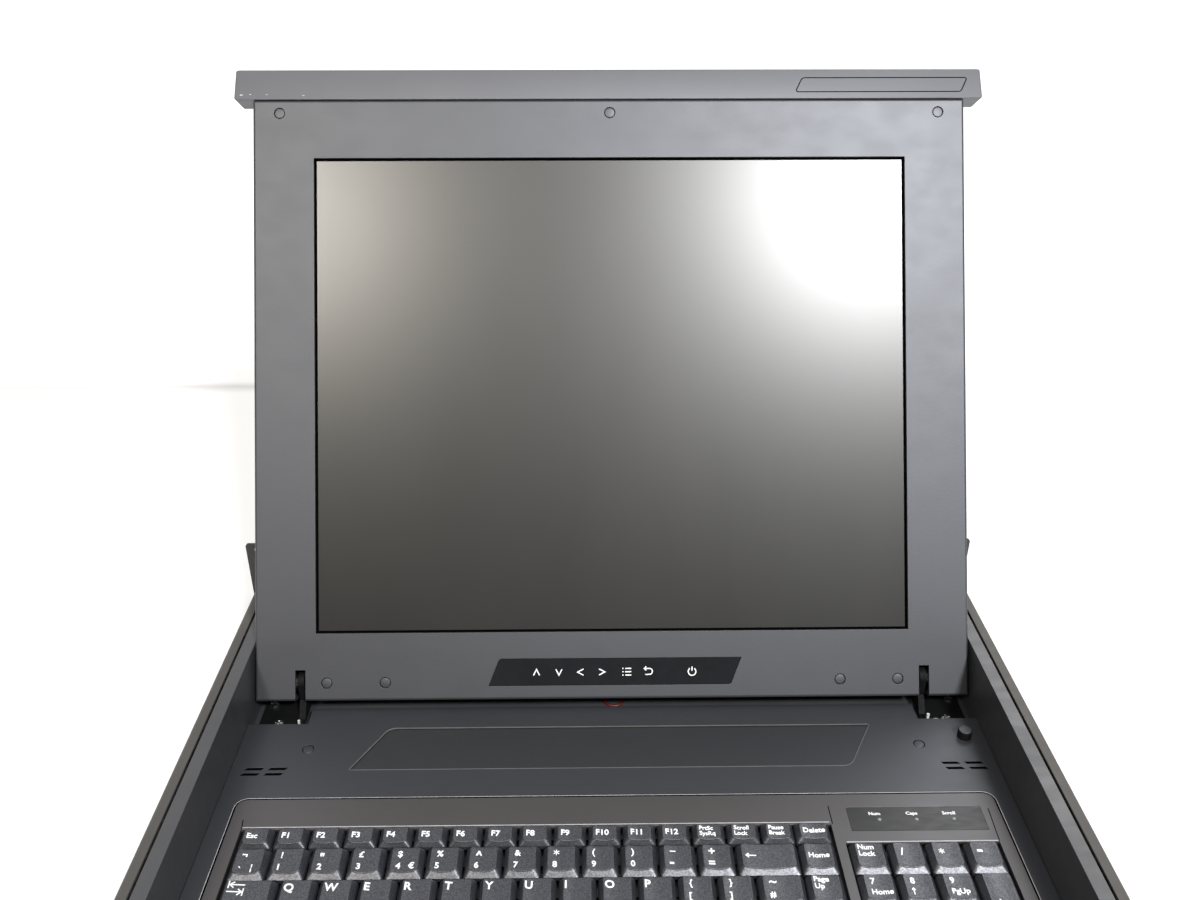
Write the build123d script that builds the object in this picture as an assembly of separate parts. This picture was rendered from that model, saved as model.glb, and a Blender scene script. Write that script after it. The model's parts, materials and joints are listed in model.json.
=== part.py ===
from build123d import *
from math import cos, hypot, radians, sin, sqrt, tan
import os

# A one-unit rack console drawer: a case that bolts into the rack, a drawer that runs out of it on
# ball-bearing slides, a keyboard under a moulded deck, and a lid with a flat screen that folds up.
# The origin is the centre of the case's underside, -Y is the front, and the lid stands open.

# Rack and case
unit_height = 43.6
case_inset = 20.2
case_depth = 480.0
case_sheet = 1.2
case_flange = 6.1
flange_notch = 9.0
sheet_bend = 1.6
round_sides = 8
over_cut = 1.0
rack_hole_inset = 8.75
rack_hole_pitch_z = 31.75
rack_width = 482.6

# Ears and brackets
ear_sheet = 2.0
ear_edge_gap = 0.3
ear_corner = 2.0
ear_leg_length = 60.0
ear_leg_height = 34.0
ear_screw_inset = 15.0
ear_screw_rise = 11.0
ear_slot_length = 10.0
ear_slot_width = 6.8
ear_overlap = 2.5
bracket_sheet = 1.5
bracket_gap = 0.2
bracket_ear_inset = 25.5
bracket_length = 282.0
bracket_height = 32.0
bracket_hole_d = 7.0
bracket_slot_width = 4.4
bracket_slot_pitch = 16.0
bracket_slot_end = 14.0
bracket_travel = 200.0
bracket_screw_pitch = 36.0

# Drawer
drawer_sheet = 1.2
drawer_bend = 0.2
slide_space = 12.35
drawer_flange = 7.15
drawer_floor_gap = 1.0
drawer_rear_inset = 4.5
drawer_front_gap = 1.5
drawer_travel = 420.0

# Ball-bearing slides
slide_height = 35.0
slide_shortfall = 30.0
slide_lip_inset = 1.0
slide_sheet = 1.2
slide_web_gap = 0.8
slide_lip_gap = 1.6
slide_front_inset = 12.0
ball_d = 3.0
ball_gap = 2.3
ball_clearance = 0.05
cage_sheet = 0.8
cage_width = 5.0
cage_length = 120.0
cage_ball_count = 3
cage_margin = 15.0

# Lid and its hinge
lid_side_gap = 1.3
lid_height = 345.1
lid_thickness = 24.6
lid_open_angle = 118.3
lid_edge_round = 1.6
lid_split = 11.8
bezel_wall = 2.0
back_wall = 1.2
hinge_z = 23.5
hinge_up = 10.5
hinge_in = 6.2
hinge_inset = 25.85
hinge_slot_width = 5.8
hinge_slot_height = 17.8
hinge_slot_depth = 18.8
arm_thickness = 3.6
arm_end_radius = 5.4
arm_heel = 9.5
foot_thickness = 2.0
foot_reach = 22.0
foot_front = 22.9
foot_rear = 7.0
foot_screw_near = 10.5
foot_screw_far = 17.0
foot_screw_front = 16.5
shaft_d = 5.0
shaft_flats_d = 4.8
shaft_clearance = 0.05
shaft_end = 0.5
lug_thickness = 2.0
lug_front_radius = 3.4
washer_d = 7.8
washer_stack = 3.6
washer_gap = 0.2
nut_width = 7.0
nut_height = 4.0
rivet_d = 6.8
rivet_height = 1.5

# Screen
bezel_side = 34.8
bezel_top = 33.5
screen_bottom = 38.7
panel_side_margin = 9.0
panel_end_margin = 11.8
panel_depth = 14.6
panel_gap = 0.3
glass_side_margin = 3.75
glass_end_margin = 3.55
glass_depth = 1.4
rail_sheet = 1.5
rail_width = 17.0
rail_bottom = 25.0
rail_top_inset = 45.1
rail_depth = 16.0
rail_spine_rise = 12.0
rail_front_gap = 0.5
rail_neck_rise = 6.0
rail_neck_depth = 5.0
board_thickness = 1.6
driver_board_width = 120.0
driver_board_height = 70.0
driver_board_x = -60.0
driver_board_drop = 25.15
inverter_width = 130.0
inverter_height = 20.0
inverter_drop = 73.4
part_height = 2.0
chip_side = 24.0
small_chip_side = 16.0
coil_length = 30.0
coil_width = 12.0
lid_vent_rise = 80.0

# On-screen menu strip
strip_x = 1.2
strip_v = 15.7
strip_width = 138.8
strip_height = 15.2
strip_lean = 6.2
strip_depth = 1.0
strip_recess = 0.2
strip_corner = 2.0
strip_fit = 0.2
menu_board_width = 130.0
menu_board_height = 12.0

# Handle beam along the lid's free edge
beam_side_gap = 4.2
beam_lid_gap = 0.2
beam_case_gap = 3.1
beam_nose_rise = 18.2
beam_front_rise = 20.0
beam_lip = 3.5
beam_nose_depth = 3.6
beam_front_depth = 8.6
beam_round = 2.0
beam_end_chamfer = 1.2
label_inset = 58.1
label_width = 96.0
label_height = 9.0
label_lean = 4.3
label_groove = 0.55
label_depth = 0.6
label_offset = 1.6
label_corner = 1.0

# Screw caps
cap_sides = 12
cap_d = 5.7
cap_fit = 0.4
cap_recess = 0.15
cap_depth = 1.4
lid_cap_top_inset = 7.7
lid_cap_side_inset = 15.35
lid_cap_low_v = 10.3
lid_cap_near_hinge = 15.1
lid_cap_far_hinge = 48.5
deck_cap_inset = 38.35
deck_cap_back = 32.5

# Deck: distances "back" are measured forward from its rear edge
deck_top = 12.1
deck_hinge_gap = 10.9
deck_wall = 2.2
deck_skirt = 2.0
deck_side_gap = 0.25
deck_front_round = 4.0
deck_seam = 0.5
panel_recess_back = 32.5
panel_recess_x = 0.5
panel_recess_cap_gap = 33.0
panel_recess_height = 32.0
panel_recess_lean = 8.5
panel_recess_corner = 7.0
panel_recess_depth = 0.8
pocket_hinge_gap = 6.7
pocket_depth = 12.5
vent_inset = 18.45
vent_back = 49.1
vent_pitch_x = 12.6
vent_pitch_y = 3.9
vent_width = 9.2
vent_height = 1.9
vent_lean = 0.7
plunger_inset = 11.85
plunger_back = 27.0
plunger_d = 7.6
plunger_height = 4.9
plunger_travel = 2.5
plunger_gap = 0.15
plunger_flange_d = 10.5
plunger_flange_height = 1.2
plunger_edge = 0.6
switch_side = 12.0

# Keyboard
keyboard_side_inset = 10.75
keyboard_back = 69.5
keyboard_front_margin = 9.12
keyboard_corner = 5.0
keyboard_rise = 0.3
back_plate = 1.0
dome_sheet = 0.8
web_top = 8.0
web_thickness = 1.2
well_side_gap = 1.75
well_divider_gap = 0.6
well_rear_gap = 0.8
pad_well_rear_gap = 2.0
well_front_gap = 2.5
key_left_margin = 7.8
key_right_margin = 7.67
key_gap = 1.1
key_row_gap = 1.2
key_height = 6.0
key_base_z = 10.7
key_side_draft = 2.2
key_front_draft = 2.8
key_rear_draft = 1.5
key_dish = 0.5
key_dish_slope = 3.4
key_travel = 2.0
key_stem = 4.2
key_stem_clearance = 0.15
key_stem_gap = 0.2
main_block_units = 14.67
pad_block_units = 4
nav_overlap = 0.54
pad_block_gap = 6.08
number_row_gap = 0.28
function_row_back = 102.0
function_key_gap = 1.05
function_key_depth = 11.7
function_count = 16

# Status lamp window
window_offset = 1.71
window_back = 86.2
window_width = 69.0
window_height = 15.5
window_depth = 0.5
window_fit = 0.2
lamp_depth = 3.0
lamp_d = 2.0
lamp_pitch = 19.0
lamp_back = 86.6
lamp_rise = 0.15

# Touchpad
pad_keyboard_gap = 13.5
pad_width = 66.0
pad_height = 44.0
pad_recess = 0.3
pad_gap = 0.3
pad_button_height = 11.0
pad_button_gap = 2.0
pad_button_travel = 0.8
pad_button_flange = 1.2
pad_button_edge = 0.5
pad_corner = 1.5
pad_flange_thickness = 1.1
pad_button_rest_gap = 0.1
pad_board_margin = 7.0
standoff_d = 5.0

# Rear compartment
cover_sheet = 1.0
cover_lid_gap = 1.2
cover_sweep_gap = 1.6
cover_top_gap = 0.2
cover_side_gap = 0.25
cover_vent_count = 9
cover_vent_pitch = 6.0
cover_vent_width = 2.5
cover_vent_length = 60.0
cover_vent_x = 110.0
cover_screw_inner_x = 60.0
cover_screw_inset = 16.35
rear_sheet = 1.2
rear_hem = 9.0
main_board_x = 60.0
main_board_width = 180.0
main_board_front_gap = 32.8
main_board_z = 8.4
supply_inset = 81.35
supply_width = 130.0
supply_front_gap = 13.6
supply_height = 31.0
supply_rear_gap = 6.0
processor_side = 30.0
processor_height = 3.0
heat_sink_height = 8.0
coil_height = 12.0

# Connectors in the rear panel
inlet_inset = 46.35
inlet_z = 21.8
inlet_width = 27.2
inlet_height = 19.8
inlet_flange = 4.0
inlet_flange_rise = 1.5
inlet_flange_thickness = 2.0
inlet_depth = 16.0
inlet_wall = 1.6
blade_spread = 7.0
blade_offset = 2.0
blade_thickness = 2.0
blade_width = 4.0
blade_setback = 2.0
video_x = 20.0
video_z = 16.2
video_width = 16.9
video_height = 8.3
video_lean = 1.4
video_corner = 1.6
video_cut_gap_x = 1.0
video_cut_gap_z = 0.5
video_flange_width = 31.0
video_flange_height = 12.5
video_reach = 5.8
video_block_depth = 10.0
video_block_drop = 0.5
usb_x = 75.0
usb_width = 12.0
usb_height = 11.0
usb_wall = 0.6
usb_depth = 14.0
usb_reach = 1.0
usb_back_wall = 3.0
usb_tongue_setback = 1.0
usb_tongue_width = 5.6
usb_tongue_height = 3.2
port_flange = 0.8
port_fit = 0.1

# Fasteners
screw_d = 4.0
screw_head_d = 7.0
screw_head_height = 1.9
small_head_d = 5.6
small_head_height = 1.7

# Wire loom in the well behind the deck
loom_d = 1.4
loom_left_x = -5.2
loom_right_x = 6.6
loom_front_y = 96.2
loom_bend = 5.0
loom_sides = 6
loom_floor_gap = 0.2
loom_rear_gap = 0.3

# Places that follow from the sizes above
case_half = rack_width / 2 - case_inset
case_inner = case_half - case_sheet
rack_hole_x = rack_width / 2 - rack_hole_inset
ear_inner_edge = case_half - ear_overlap
front_y = -case_depth / 2
rear_y = case_depth / 2
bracket_ear_y = rear_y - bracket_ear_inset
drawer_outer = case_inner - slide_space
drawer_inner_half = drawer_outer - drawer_sheet
drawer_bottom = case_sheet + drawer_floor_gap
drawer_floor = drawer_bottom + drawer_sheet
drawer_rear_y = rear_y - drawer_rear_inset
lid_tilt = 180 - lid_open_angle
lid_half = drawer_inner_half - lid_side_gap
beam_bottom_v = lid_height + beam_lid_gap
beam_nose_v = beam_bottom_v + beam_nose_rise
beam_front_v = beam_bottom_v + beam_front_rise
beam_half_width = case_inner - beam_side_gap
beam_back_y = front_y + beam_case_gap
label_x = beam_half_width - label_inset
hinge_y = beam_back_y + beam_bottom_v - hinge_up
hinge_x = lid_half - hinge_inset
drawer_front_y = beam_back_y + drawer_front_gap
slide_mid_z = unit_height / 2
slide_length = case_depth - slide_shortfall
slide_front_y = drawer_front_y + slide_front_inset
deck_rear_y = hinge_y - deck_hinge_gap
deck_cap_x = drawer_inner_half - deck_cap_inset
panel_recess_width = 2 * (deck_cap_x - panel_recess_cap_gap)
pocket_inner_x = hinge_x - pocket_hinge_gap
vent_x = drawer_inner_half - vent_inset
plunger_x = drawer_inner_half - plunger_inset
well_sweep = hypot(hinge_up, lid_thickness - hinge_in)
cover_front_y = hinge_y + well_sweep + cover_sweep_gap
cover_top = unit_height - cover_top_gap
keyboard_top = deck_top + keyboard_rise
keyboard_half_width = drawer_inner_half - keyboard_side_inset
key_field = 2 * keyboard_half_width - key_left_margin - key_right_margin
key_pitch = (key_field + nav_overlap - pad_block_gap) / (main_block_units + 1 + pad_block_units)
key_depth = key_pitch - key_row_gap
block_left_x = key_left_margin - keyboard_half_width
nav_left_x = block_left_x + main_block_units * key_pitch - nav_overlap
pad_left_x = nav_left_x + key_pitch + pad_block_gap
pad_right_x = pad_left_x + pad_block_units * key_pitch
window_x = (pad_left_x + pad_right_x) / 2 + window_offset
function_pitch = main_block_units * key_pitch / function_count
function_key_width = function_pitch - function_key_gap
number_row_back = function_row_back + key_pitch + number_row_gap
main_well_back = function_row_back - function_key_depth - well_rear_gap
pad_well_back = number_row_back - key_depth - pad_well_rear_gap
well_left_x = block_left_x + key_gap / 2 - well_side_gap
well_right_x = pad_right_x - key_gap / 2 + well_side_gap
divider_left_x = nav_left_x + key_pitch - key_gap / 2 + well_side_gap
divider_right_x = pad_left_x + key_gap / 2 - well_divider_gap
keyboard_rear_y = deck_rear_y - keyboard_back
keyboard_front_y = deck_rear_y - number_row_back - 4 * key_pitch - keyboard_front_margin
frame_bottom = drawer_floor + back_plate + dome_sheet
key_top_z = key_base_z + key_height
key_stem_bottom = frame_bottom + key_travel + key_stem_gap
pad_flange_top = deck_top - deck_wall - pad_gap
pad_flange_bottom = pad_flange_top - pad_flange_thickness
pad_board_top = pad_flange_bottom - pad_button_travel - pad_button_rest_gap
pad_board_z = pad_board_top - board_thickness
arm_inner = hinge_x - arm_thickness / 2
arm_outer = hinge_x + arm_thickness / 2
lug_inner = arm_outer + washer_gap + washer_stack + washer_gap
glass_front = bezel_wall + panel_gap
panel_front = glass_front + glass_depth
panel_rear = panel_front + panel_depth
screen_opening_width = 2 * (lid_half - bezel_side)
screen_opening_height = lid_height - screen_bottom - bezel_top
screen_mid_v = screen_bottom + screen_opening_height / 2
panel_width = screen_opening_width + 2 * panel_side_margin
panel_height = screen_opening_height + 2 * panel_end_margin
glass_width = screen_opening_width + 2 * glass_side_margin
glass_height = screen_opening_height + 2 * glass_end_margin
driver_board_v = screen_mid_v - driver_board_drop
inverter_v = screen_mid_v + panel_height / 2 - inverter_drop
rail_top = lid_height - rail_top_inset
rear_sheet_front = drawer_rear_y - rear_sheet
supply_x = supply_inset - drawer_inner_half
supply_front_y = cover_front_y + supply_front_gap
supply_rear_y = rear_sheet_front - inlet_depth - supply_rear_gap
main_board_front_y = cover_front_y + main_board_front_gap
main_board_rear_y = rear_sheet_front - port_flange
inlet_x = inlet_inset - drawer_inner_half

key_rows = {
    "number_keys": [1] * 13 + [main_block_units - 13],
    "upper_letter_keys": [1.42] + [1] * 12 + [1.25],
    "home_letter_keys": [1.67] + [1] * 11 + [2],
    "lower_letter_keys": [1.17] + [1] * 11 + [1.5, 1],
}
modifier_units = [1.25, 1, 1, 1.17]
space_units = 5
right_modifier_units = [1, 1, 1.25, 1, 1]


def block(x_range, y_range, z_range):
    """A box between two values on each axis."""
    size = [high - low for low, high in (x_range, y_range, z_range)]
    middle = [(high + low) / 2 for low, high in (x_range, y_range, z_range)]
    return Pos(*middle) * Box(*size)


def centred(x, y, z_range, width, depth):
    """A box that stands on z_range over a point."""
    return block((x - width / 2, x + width / 2), (y - depth / 2, y + depth / 2), z_range)


def disc(diameter, sides=round_sides):
    """A many-sided disc, for round details that nothing turns on."""
    return RegularPolygon(diameter / 2, sides)


def post(x, y, z_range, diameter, sides=round_sides):
    """An upright pin with flat sides."""
    return Pos(x, y, z_range[0]) * extrude(disc(diameter, sides), z_range[1] - z_range[0])


def across(x_range, y, z, diameter):
    """A pin along X with flat sides."""
    return Pos(x_range[0], y, z) * extrude(Plane.YZ * disc(diameter), x_range[1] - x_range[0])


def journal(x_range, y, z, diameter):
    """A true cylinder along X, for what turns."""
    length = x_range[1] - x_range[0]
    return Pos(x_range[0] + length / 2, y, z) * Rot(0, 90, 0) * Cylinder(diameter / 2, length)


def along_y(x, y_range, z, diameter):
    """A cylinder along Y."""
    length = y_range[1] - y_range[0]
    return Pos(x, y_range[0] + length / 2, z) * Rot(90, 0, 0) * Cylinder(diameter / 2, length)


def both_sides(shape):
    """The shape and its mirror image in the plane X = 0."""
    return [shape, mirror(shape, Plane.YZ)]


def folded(points, bend, thickness, plane, start, length):
    """Sheet metal bent along points, thickened to the left and drawn out along the plane's normal."""
    path = FilletPolyline(*points, radius=bend)
    outline = offset(path, amount=thickness, side=Side.LEFT)
    return extrude(plane.offset(start) * make_face(outline.edges()), length)


def leaning(width, height, lean, corner):
    """A flat parallelogram whose upper edge leans to +X, with two rounded corners."""
    half = width / 2
    rise = height / 2
    points = [(-half - lean, -rise), (half - lean, -rise), (half + lean, rise), (-half + lean, rise)]
    flat = make_face(Polyline(*points, close=True))
    if corner > 0:
        ends = flat.vertices().sort_by(Axis.X)[1:3]
        flat = fillet(ends, corner)
    return flat


def on_lid(shape):
    """Puts a shape from the lid's own frame at the open lid: x across, y up the lid, z out of the bezel."""
    return Pos(0, hinge_y, hinge_z) * Rot(lid_tilt, 0, 0) * Pos(0, -hinge_up, hinge_in) * shape


def case_pan():
    """Floor and sides in one folded sheet, with flanges turned in over the slides and a rear lip."""
    inner = case_half - case_flange
    top = unit_height
    left = [(-inner, top), (-case_half, top), (-case_half, 0)]
    right = [(case_half, 0), (case_half, top), (inner, top)]
    length = case_depth - ear_sheet
    pan = folded(left + right, sheet_bend + case_sheet, case_sheet, Plane.XZ, -rear_y, length)
    notch_y = (front_y, front_y + ear_sheet + flange_notch)
    notch_x = (inner - over_cut, case_inner)
    notch_z = (top - case_sheet - over_cut, top + over_cut)
    for notch in both_sides(block(notch_x, notch_y, notch_z)):
        pan -= notch
    lip_x = (-case_inner + sheet_bend, case_inner - sheet_bend)
    pan += block(lip_x, (rear_y - case_sheet, rear_y), (0, drawer_bottom - ear_edge_gap + case_sheet))
    return pan


def front_ear():
    """The right rack ear: a slotted plate across the case's end and a leg along its side."""
    low = ear_edge_gap
    high = unit_height - ear_edge_gap
    mid_z = unit_height / 2
    plate = block((ear_inner_edge, rack_width / 2), (front_y, front_y + ear_sheet), (low, high))
    outer_edges = plate.edges().filter_by(Axis.Y).group_by(Axis.X)[-1]
    plate = fillet(outer_edges, ear_corner)
    leg_z = (mid_z - ear_leg_height / 2, mid_z + ear_leg_height / 2)
    leg_y = (front_y + ear_sheet, front_y + ear_leg_length)
    leg = block((case_half, case_half + bracket_sheet), leg_y, leg_z)
    ear = plate + leg
    slot = SlotOverall(ear_slot_length, ear_slot_width)
    for side in (-1, 1):
        place = Pos(rack_hole_x, front_y + ear_sheet + over_cut, mid_z + side * rack_hole_pitch_z / 2)
        ear -= place * extrude(Plane.XZ * slot, ear_sheet + 2 * over_cut)
    return ear


def ear_screws():
    """Three pan-head screws on the right ear's leg."""
    screws = []
    seat = case_half + bracket_sheet
    near = front_y + ear_screw_inset
    far = front_y + ear_leg_length - ear_screw_inset
    for y, rise in ((near, -ear_screw_rise), (near, ear_screw_rise), (far, 0)):
        z = unit_height / 2 + rise
        screws.append(across((seat, seat + screw_head_height), y, z, screw_head_d))
    return screws


def rear_bracket():
    """The right rear bracket: a slotted side plate that runs along the case and ends in a rack ear."""
    mid_z = unit_height / 2
    inner = case_half + bracket_gap
    outer = inner + bracket_sheet
    plate_z = (mid_z - bracket_height / 2, mid_z + bracket_height / 2)
    plate = block((inner, outer), (bracket_ear_y - bracket_length, bracket_ear_y), plate_z)
    ear_z = (ear_edge_gap, unit_height - ear_edge_gap)
    ear = block((inner, rack_width / 2), (bracket_ear_y - bracket_sheet, bracket_ear_y), ear_z)
    ear = fillet(ear.edges().filter_by(Axis.Y).group_by(Axis.X)[-1], ear_corner)
    bracket = plate + ear
    for side in (-1, 1):
        z = mid_z + side * rack_hole_pitch_z / 2
        hole_y = (bracket_ear_y - bracket_sheet - over_cut, bracket_ear_y + over_cut)
        bracket -= along_y(rack_hole_x, hole_y, z, bracket_hole_d)
        slot_z = mid_z + side * bracket_slot_pitch / 2
        slot_length = bracket_travel + bracket_screw_pitch + 2 * bracket_slot_width
        slot_y = bracket_ear_y - bracket_slot_end - slot_length / 2
        flat = Plane.YZ * Rectangle(slot_length, bracket_slot_width)
        bracket -= Pos(inner - over_cut, slot_y, slot_z) * extrude(flat, bracket_sheet + 2 * over_cut)
    return bracket


def bracket_screws():
    """Four screws that hold the right rear bracket through its slots."""
    screws = []
    mid_z = unit_height / 2
    seat = case_half + bracket_gap + bracket_sheet
    first_y = bracket_ear_y - bracket_slot_end - bracket_slot_width
    for back, side in ((0, -1), (0, 1), (bracket_screw_pitch, -1), (bracket_screw_pitch, 1)):
        z = mid_z + side * bracket_slot_pitch / 2
        y = first_y - back
        shank = across((case_half, seat + washer_gap), y, z, screw_d)
        head = across((seat + washer_gap, seat + washer_gap + screw_head_height), y, z, screw_head_d)
        screws.append(shank + head)
    return screws


def case_screws():
    """The case's screws, on both sides."""
    right = ear_screws() + bracket_screws()
    return Compound([each for screw in right for each in both_sides(screw)])


def slide_channel(web_x, lip_x, height):
    """A C-section slide member with a ball race rolled into each flange's inside and outside."""
    low_x = min(web_x, lip_x)
    high_x = max(web_x, lip_x)
    half = height / 2
    towards = 1 if lip_x > web_x else -1
    section = Pos((low_x + high_x) / 2, slide_mid_z) * Rectangle(high_x - low_x, height)
    inside_low = low_x + slide_sheet if towards > 0 else low_x - over_cut
    inside_high = high_x + over_cut if towards > 0 else high_x - slide_sheet
    hollow = Rectangle(inside_high - inside_low, 2 * (half - slide_sheet))
    section -= Pos((inside_low + inside_high) / 2, slide_mid_z) * hollow
    return section


def ball_x():
    """The line of the ball races, midway between the case's and the drawer's walls."""
    return (case_inner + drawer_outer) / 2


def race_height(level):
    """Half height of the ball centres: level 0 is between outer and middle member, 1 inside that."""
    inside = slide_height / 2 - slide_sheet - ball_gap / 2
    return inside - level * (slide_sheet + ball_gap)


def with_races(section, level):
    """Cuts the grooves in which one level's balls run."""
    for side in (-1, 1):
        groove = Circle(ball_d / 2 + ball_clearance)
        section -= Pos(ball_x(), slide_mid_z + side * race_height(level)) * groove
    return section


def slide_member(section):
    """Draws a slide's section out to its length."""
    return extrude(Plane.XZ.offset(-slide_front_y - slide_length) * section, slide_length)


def slide_outer():
    """The right slide's outer member, against the case's side."""
    lip = drawer_outer + slide_lip_gap
    return slide_member(with_races(slide_channel(case_inner, lip, slide_height), 0))


def slide_middle():
    """The right slide's middle member, between the other two."""
    height = slide_height - 2 * (slide_sheet + ball_gap)
    web = case_inner - slide_sheet - slide_web_gap
    section = slide_channel(web, drawer_outer + slide_lip_gap, height)
    return slide_member(with_races(with_races(section, 0), 1))


def slide_inner():
    """The right slide's inner member, on the drawer's side."""
    height = slide_height - 4 * (slide_sheet + ball_gap)
    lip = case_inner - 2 * slide_sheet - 2 * slide_web_gap - slide_lip_inset
    return slide_member(with_races(slide_channel(drawer_outer, lip, height), 1))


def ball():
    """A bearing ball with few flat faces, its corners on the ball's true diameter."""
    side = ball_d / sqrt(2)
    cube = Box(side, side, side)
    return (Rot(45, 0, 0) * cube) & (Rot(0, 45, 0) * cube)


def ball_cages(level):
    """Retainer strips with their balls, placed so that they stay between their members at full travel."""
    pieces = []
    start = slide_front_y + drawer_travel / 4 + cage_margin
    for side in (-1, 1):
        z = slide_mid_z + side * race_height(level)
        strip = block(
            (ball_x() - cage_width / 2, ball_x() + cage_width / 2),
            (start, start + cage_length),
            (z - cage_sheet / 2, z + cage_sheet / 2),
        )
        for index in range(cage_ball_count):
            y = start + cage_length * (index + 0.5) / cage_ball_count
            strip += Pos(ball_x(), y, z) * ball()
        pieces += both_sides(strip)
    return Compound(pieces)


def drawer_tray():
    """The drawer's folded tray: floor, upright sides and flanges turned out over the slides."""
    edge = drawer_inner_half + drawer_flange
    top = unit_height
    side = drawer_inner_half
    right = [(edge, top), (side, top), (side, drawer_floor)]
    left = [(-side, drawer_floor), (-side, top), (-edge, top)]
    length = drawer_rear_y - drawer_front_y
    return folded(right + left, drawer_bend, drawer_sheet, Plane.XZ, -drawer_rear_y, length)


def deck_cover():
    """The moulded deck: a shell round the keyboard, with palm rest, hinge pockets, recess and vents."""
    half = drawer_inner_half - deck_side_gap
    front = drawer_front_y
    shell = block((-half, half), (front, deck_rear_y), (drawer_floor, deck_top))
    front_edge = shell.edges().filter_by(Axis.X).group_by(Axis.Y)[0].sort_by(Axis.Z)[-1]
    shell = fillet(front_edge, deck_front_round)
    hollow_y = (front + deck_skirt, deck_rear_y - deck_skirt)
    hollow_z = (drawer_floor - over_cut, deck_top - deck_wall)
    shell -= block((-half + deck_skirt, half - deck_skirt), hollow_y, hollow_z)
    opening_half = keyboard_half_width + deck_seam
    opening_y = (keyboard_front_y - deck_seam, keyboard_rear_y + deck_seam)
    opening = block((-opening_half, opening_half), opening_y, (drawer_floor, deck_top + over_cut))
    shell -= fillet(opening.edges().filter_by(Axis.Z), keyboard_corner + deck_seam)
    recess_y = deck_rear_y - panel_recess_back
    recess = leaning(panel_recess_width, panel_recess_height, panel_recess_lean, panel_recess_corner)
    recess = extrude(recess, panel_recess_depth + over_cut)
    shell -= Pos(panel_recess_x, recess_y, deck_top - panel_recess_depth) * recess
    pocket_y = (deck_rear_y - pocket_depth, deck_rear_y + over_cut)
    pocket = block((pocket_inner_x, half + over_cut), pocket_y, (0, deck_top + over_cut))
    for cut in both_sides(pocket):
        shell -= cut
    for cut in both_sides(deck_vents()):
        shell -= cut
    for side in (-1, 1):
        cap_y = deck_rear_y - deck_cap_back
        shell -= cap_hole(side * deck_cap_x, cap_y, deck_top)
    shell -= plunger_hole()
    return shell - pad_openings()


def deck_vents():
    """Four leaning slots over the right end of the deck."""
    slots = []
    flat = leaning(vent_width, vent_height, -vent_lean, 0)
    for column in (-1, 1):
        for row in (-1, 1):
            x = vent_x + column * vent_pitch_x / 2 - row * vent_lean
            y = deck_rear_y - vent_back + row * vent_pitch_y / 2
            slots.append(Pos(x, y, deck_top - deck_wall - over_cut) * extrude(flat, deck_wall + 2 * over_cut))
    return Compound(slots)


def plunger_hole():
    """The hole that guides the lid switch's plunger."""
    y = deck_rear_y - plunger_back
    return post(plunger_x, y, (drawer_floor + over_cut, deck_top + over_cut), plunger_d + 2 * plunger_gap)


def pad_rows():
    """Y spans of the touchpad and of its buttons."""
    rear = keyboard_front_y - pad_keyboard_gap
    pad = (rear - pad_height, rear)
    buttons = (pad[0] - pad_button_gap - pad_button_height, pad[0] - pad_button_gap)
    return pad, buttons


def pad_openings():
    """Openings in the palm rest for the touchpad and its two buttons."""
    pad, buttons = pad_rows()
    cut_z = (drawer_floor + over_cut, deck_top + over_cut)
    half = pad_width / 2
    openings = block((-half - pad_gap, half + pad_gap), (pad[0] - pad_gap, pad[1] + pad_gap), cut_z)
    button_y = (buttons[0] - pad_gap, buttons[1] + pad_gap)
    openings += block((-half - pad_gap, half + pad_gap), button_y, cut_z)
    return openings


def touchpad_surface():
    """The touch-sensitive pad, a little below the palm rest."""
    pad, buttons = pad_rows()
    half = pad_width / 2
    surface = block((-half, half), pad, (pad_board_top, deck_top - pad_recess))
    return fillet(surface.edges().filter_by(Axis.Z), pad_corner)


def touchpad_button(side):
    """One touchpad button with the flange that keeps it under the deck."""
    pad, buttons = pad_rows()
    x_range = sorted((side * pad_gap / 2, side * pad_width / 2))
    cap = block(x_range, buttons, (pad_flange_bottom, deck_top))
    upper = cap.faces().sort_by(Axis.Z)[-1].edges()
    cap = chamfer(upper, pad_button_edge)
    flange_x = sorted((side * pad_gap / 2, side * (pad_width / 2 + pad_button_flange)))
    flange_y = (buttons[0] - pad_button_flange, buttons[1])
    return cap + block(flange_x, flange_y, (pad_flange_bottom, pad_flange_top))


def touchpad_board():
    """The board under the pad and buttons, on four standoffs."""
    pad, buttons = pad_rows()
    half = pad_width / 2 + pad_board_margin
    y_range = (buttons[0] - pad_board_margin, pad[1] + pad_board_margin)
    board = block((-half, half), y_range, (pad_board_z, pad_board_top))
    for x in (-half + standoff_d, half - standoff_d):
        for y in (y_range[0] + standoff_d, y_range[1] - standoff_d):
            board += post(x, y, (drawer_floor, pad_board_z), standoff_d)
    return board


def lid_switch_plunger():
    """The post that the closing lid presses, with a flange under the deck."""
    y = deck_rear_y - plunger_back
    flange_top = deck_top - deck_wall - plunger_gap
    stem = post(plunger_x, y, (flange_top - plunger_flange_height, deck_top + plunger_height), plunger_d)
    stem = chamfer(stem.faces().sort_by(Axis.Z)[-1].edges(), plunger_edge)
    return stem + post(plunger_x, y, (flange_top - plunger_flange_height, flange_top), plunger_flange_d)


def lid_switch():
    """The switch body under the plunger."""
    y = deck_rear_y - plunger_back
    top = deck_top - deck_wall - plunger_gap - plunger_flange_height - plunger_travel - plunger_gap
    return centred(plunger_x, y, (drawer_floor, top), switch_side, switch_side)


def row_front_y(row):
    """The front edge of a key row, counting the number row as 0."""
    return deck_rear_y - number_row_back - row * key_pitch


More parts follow.
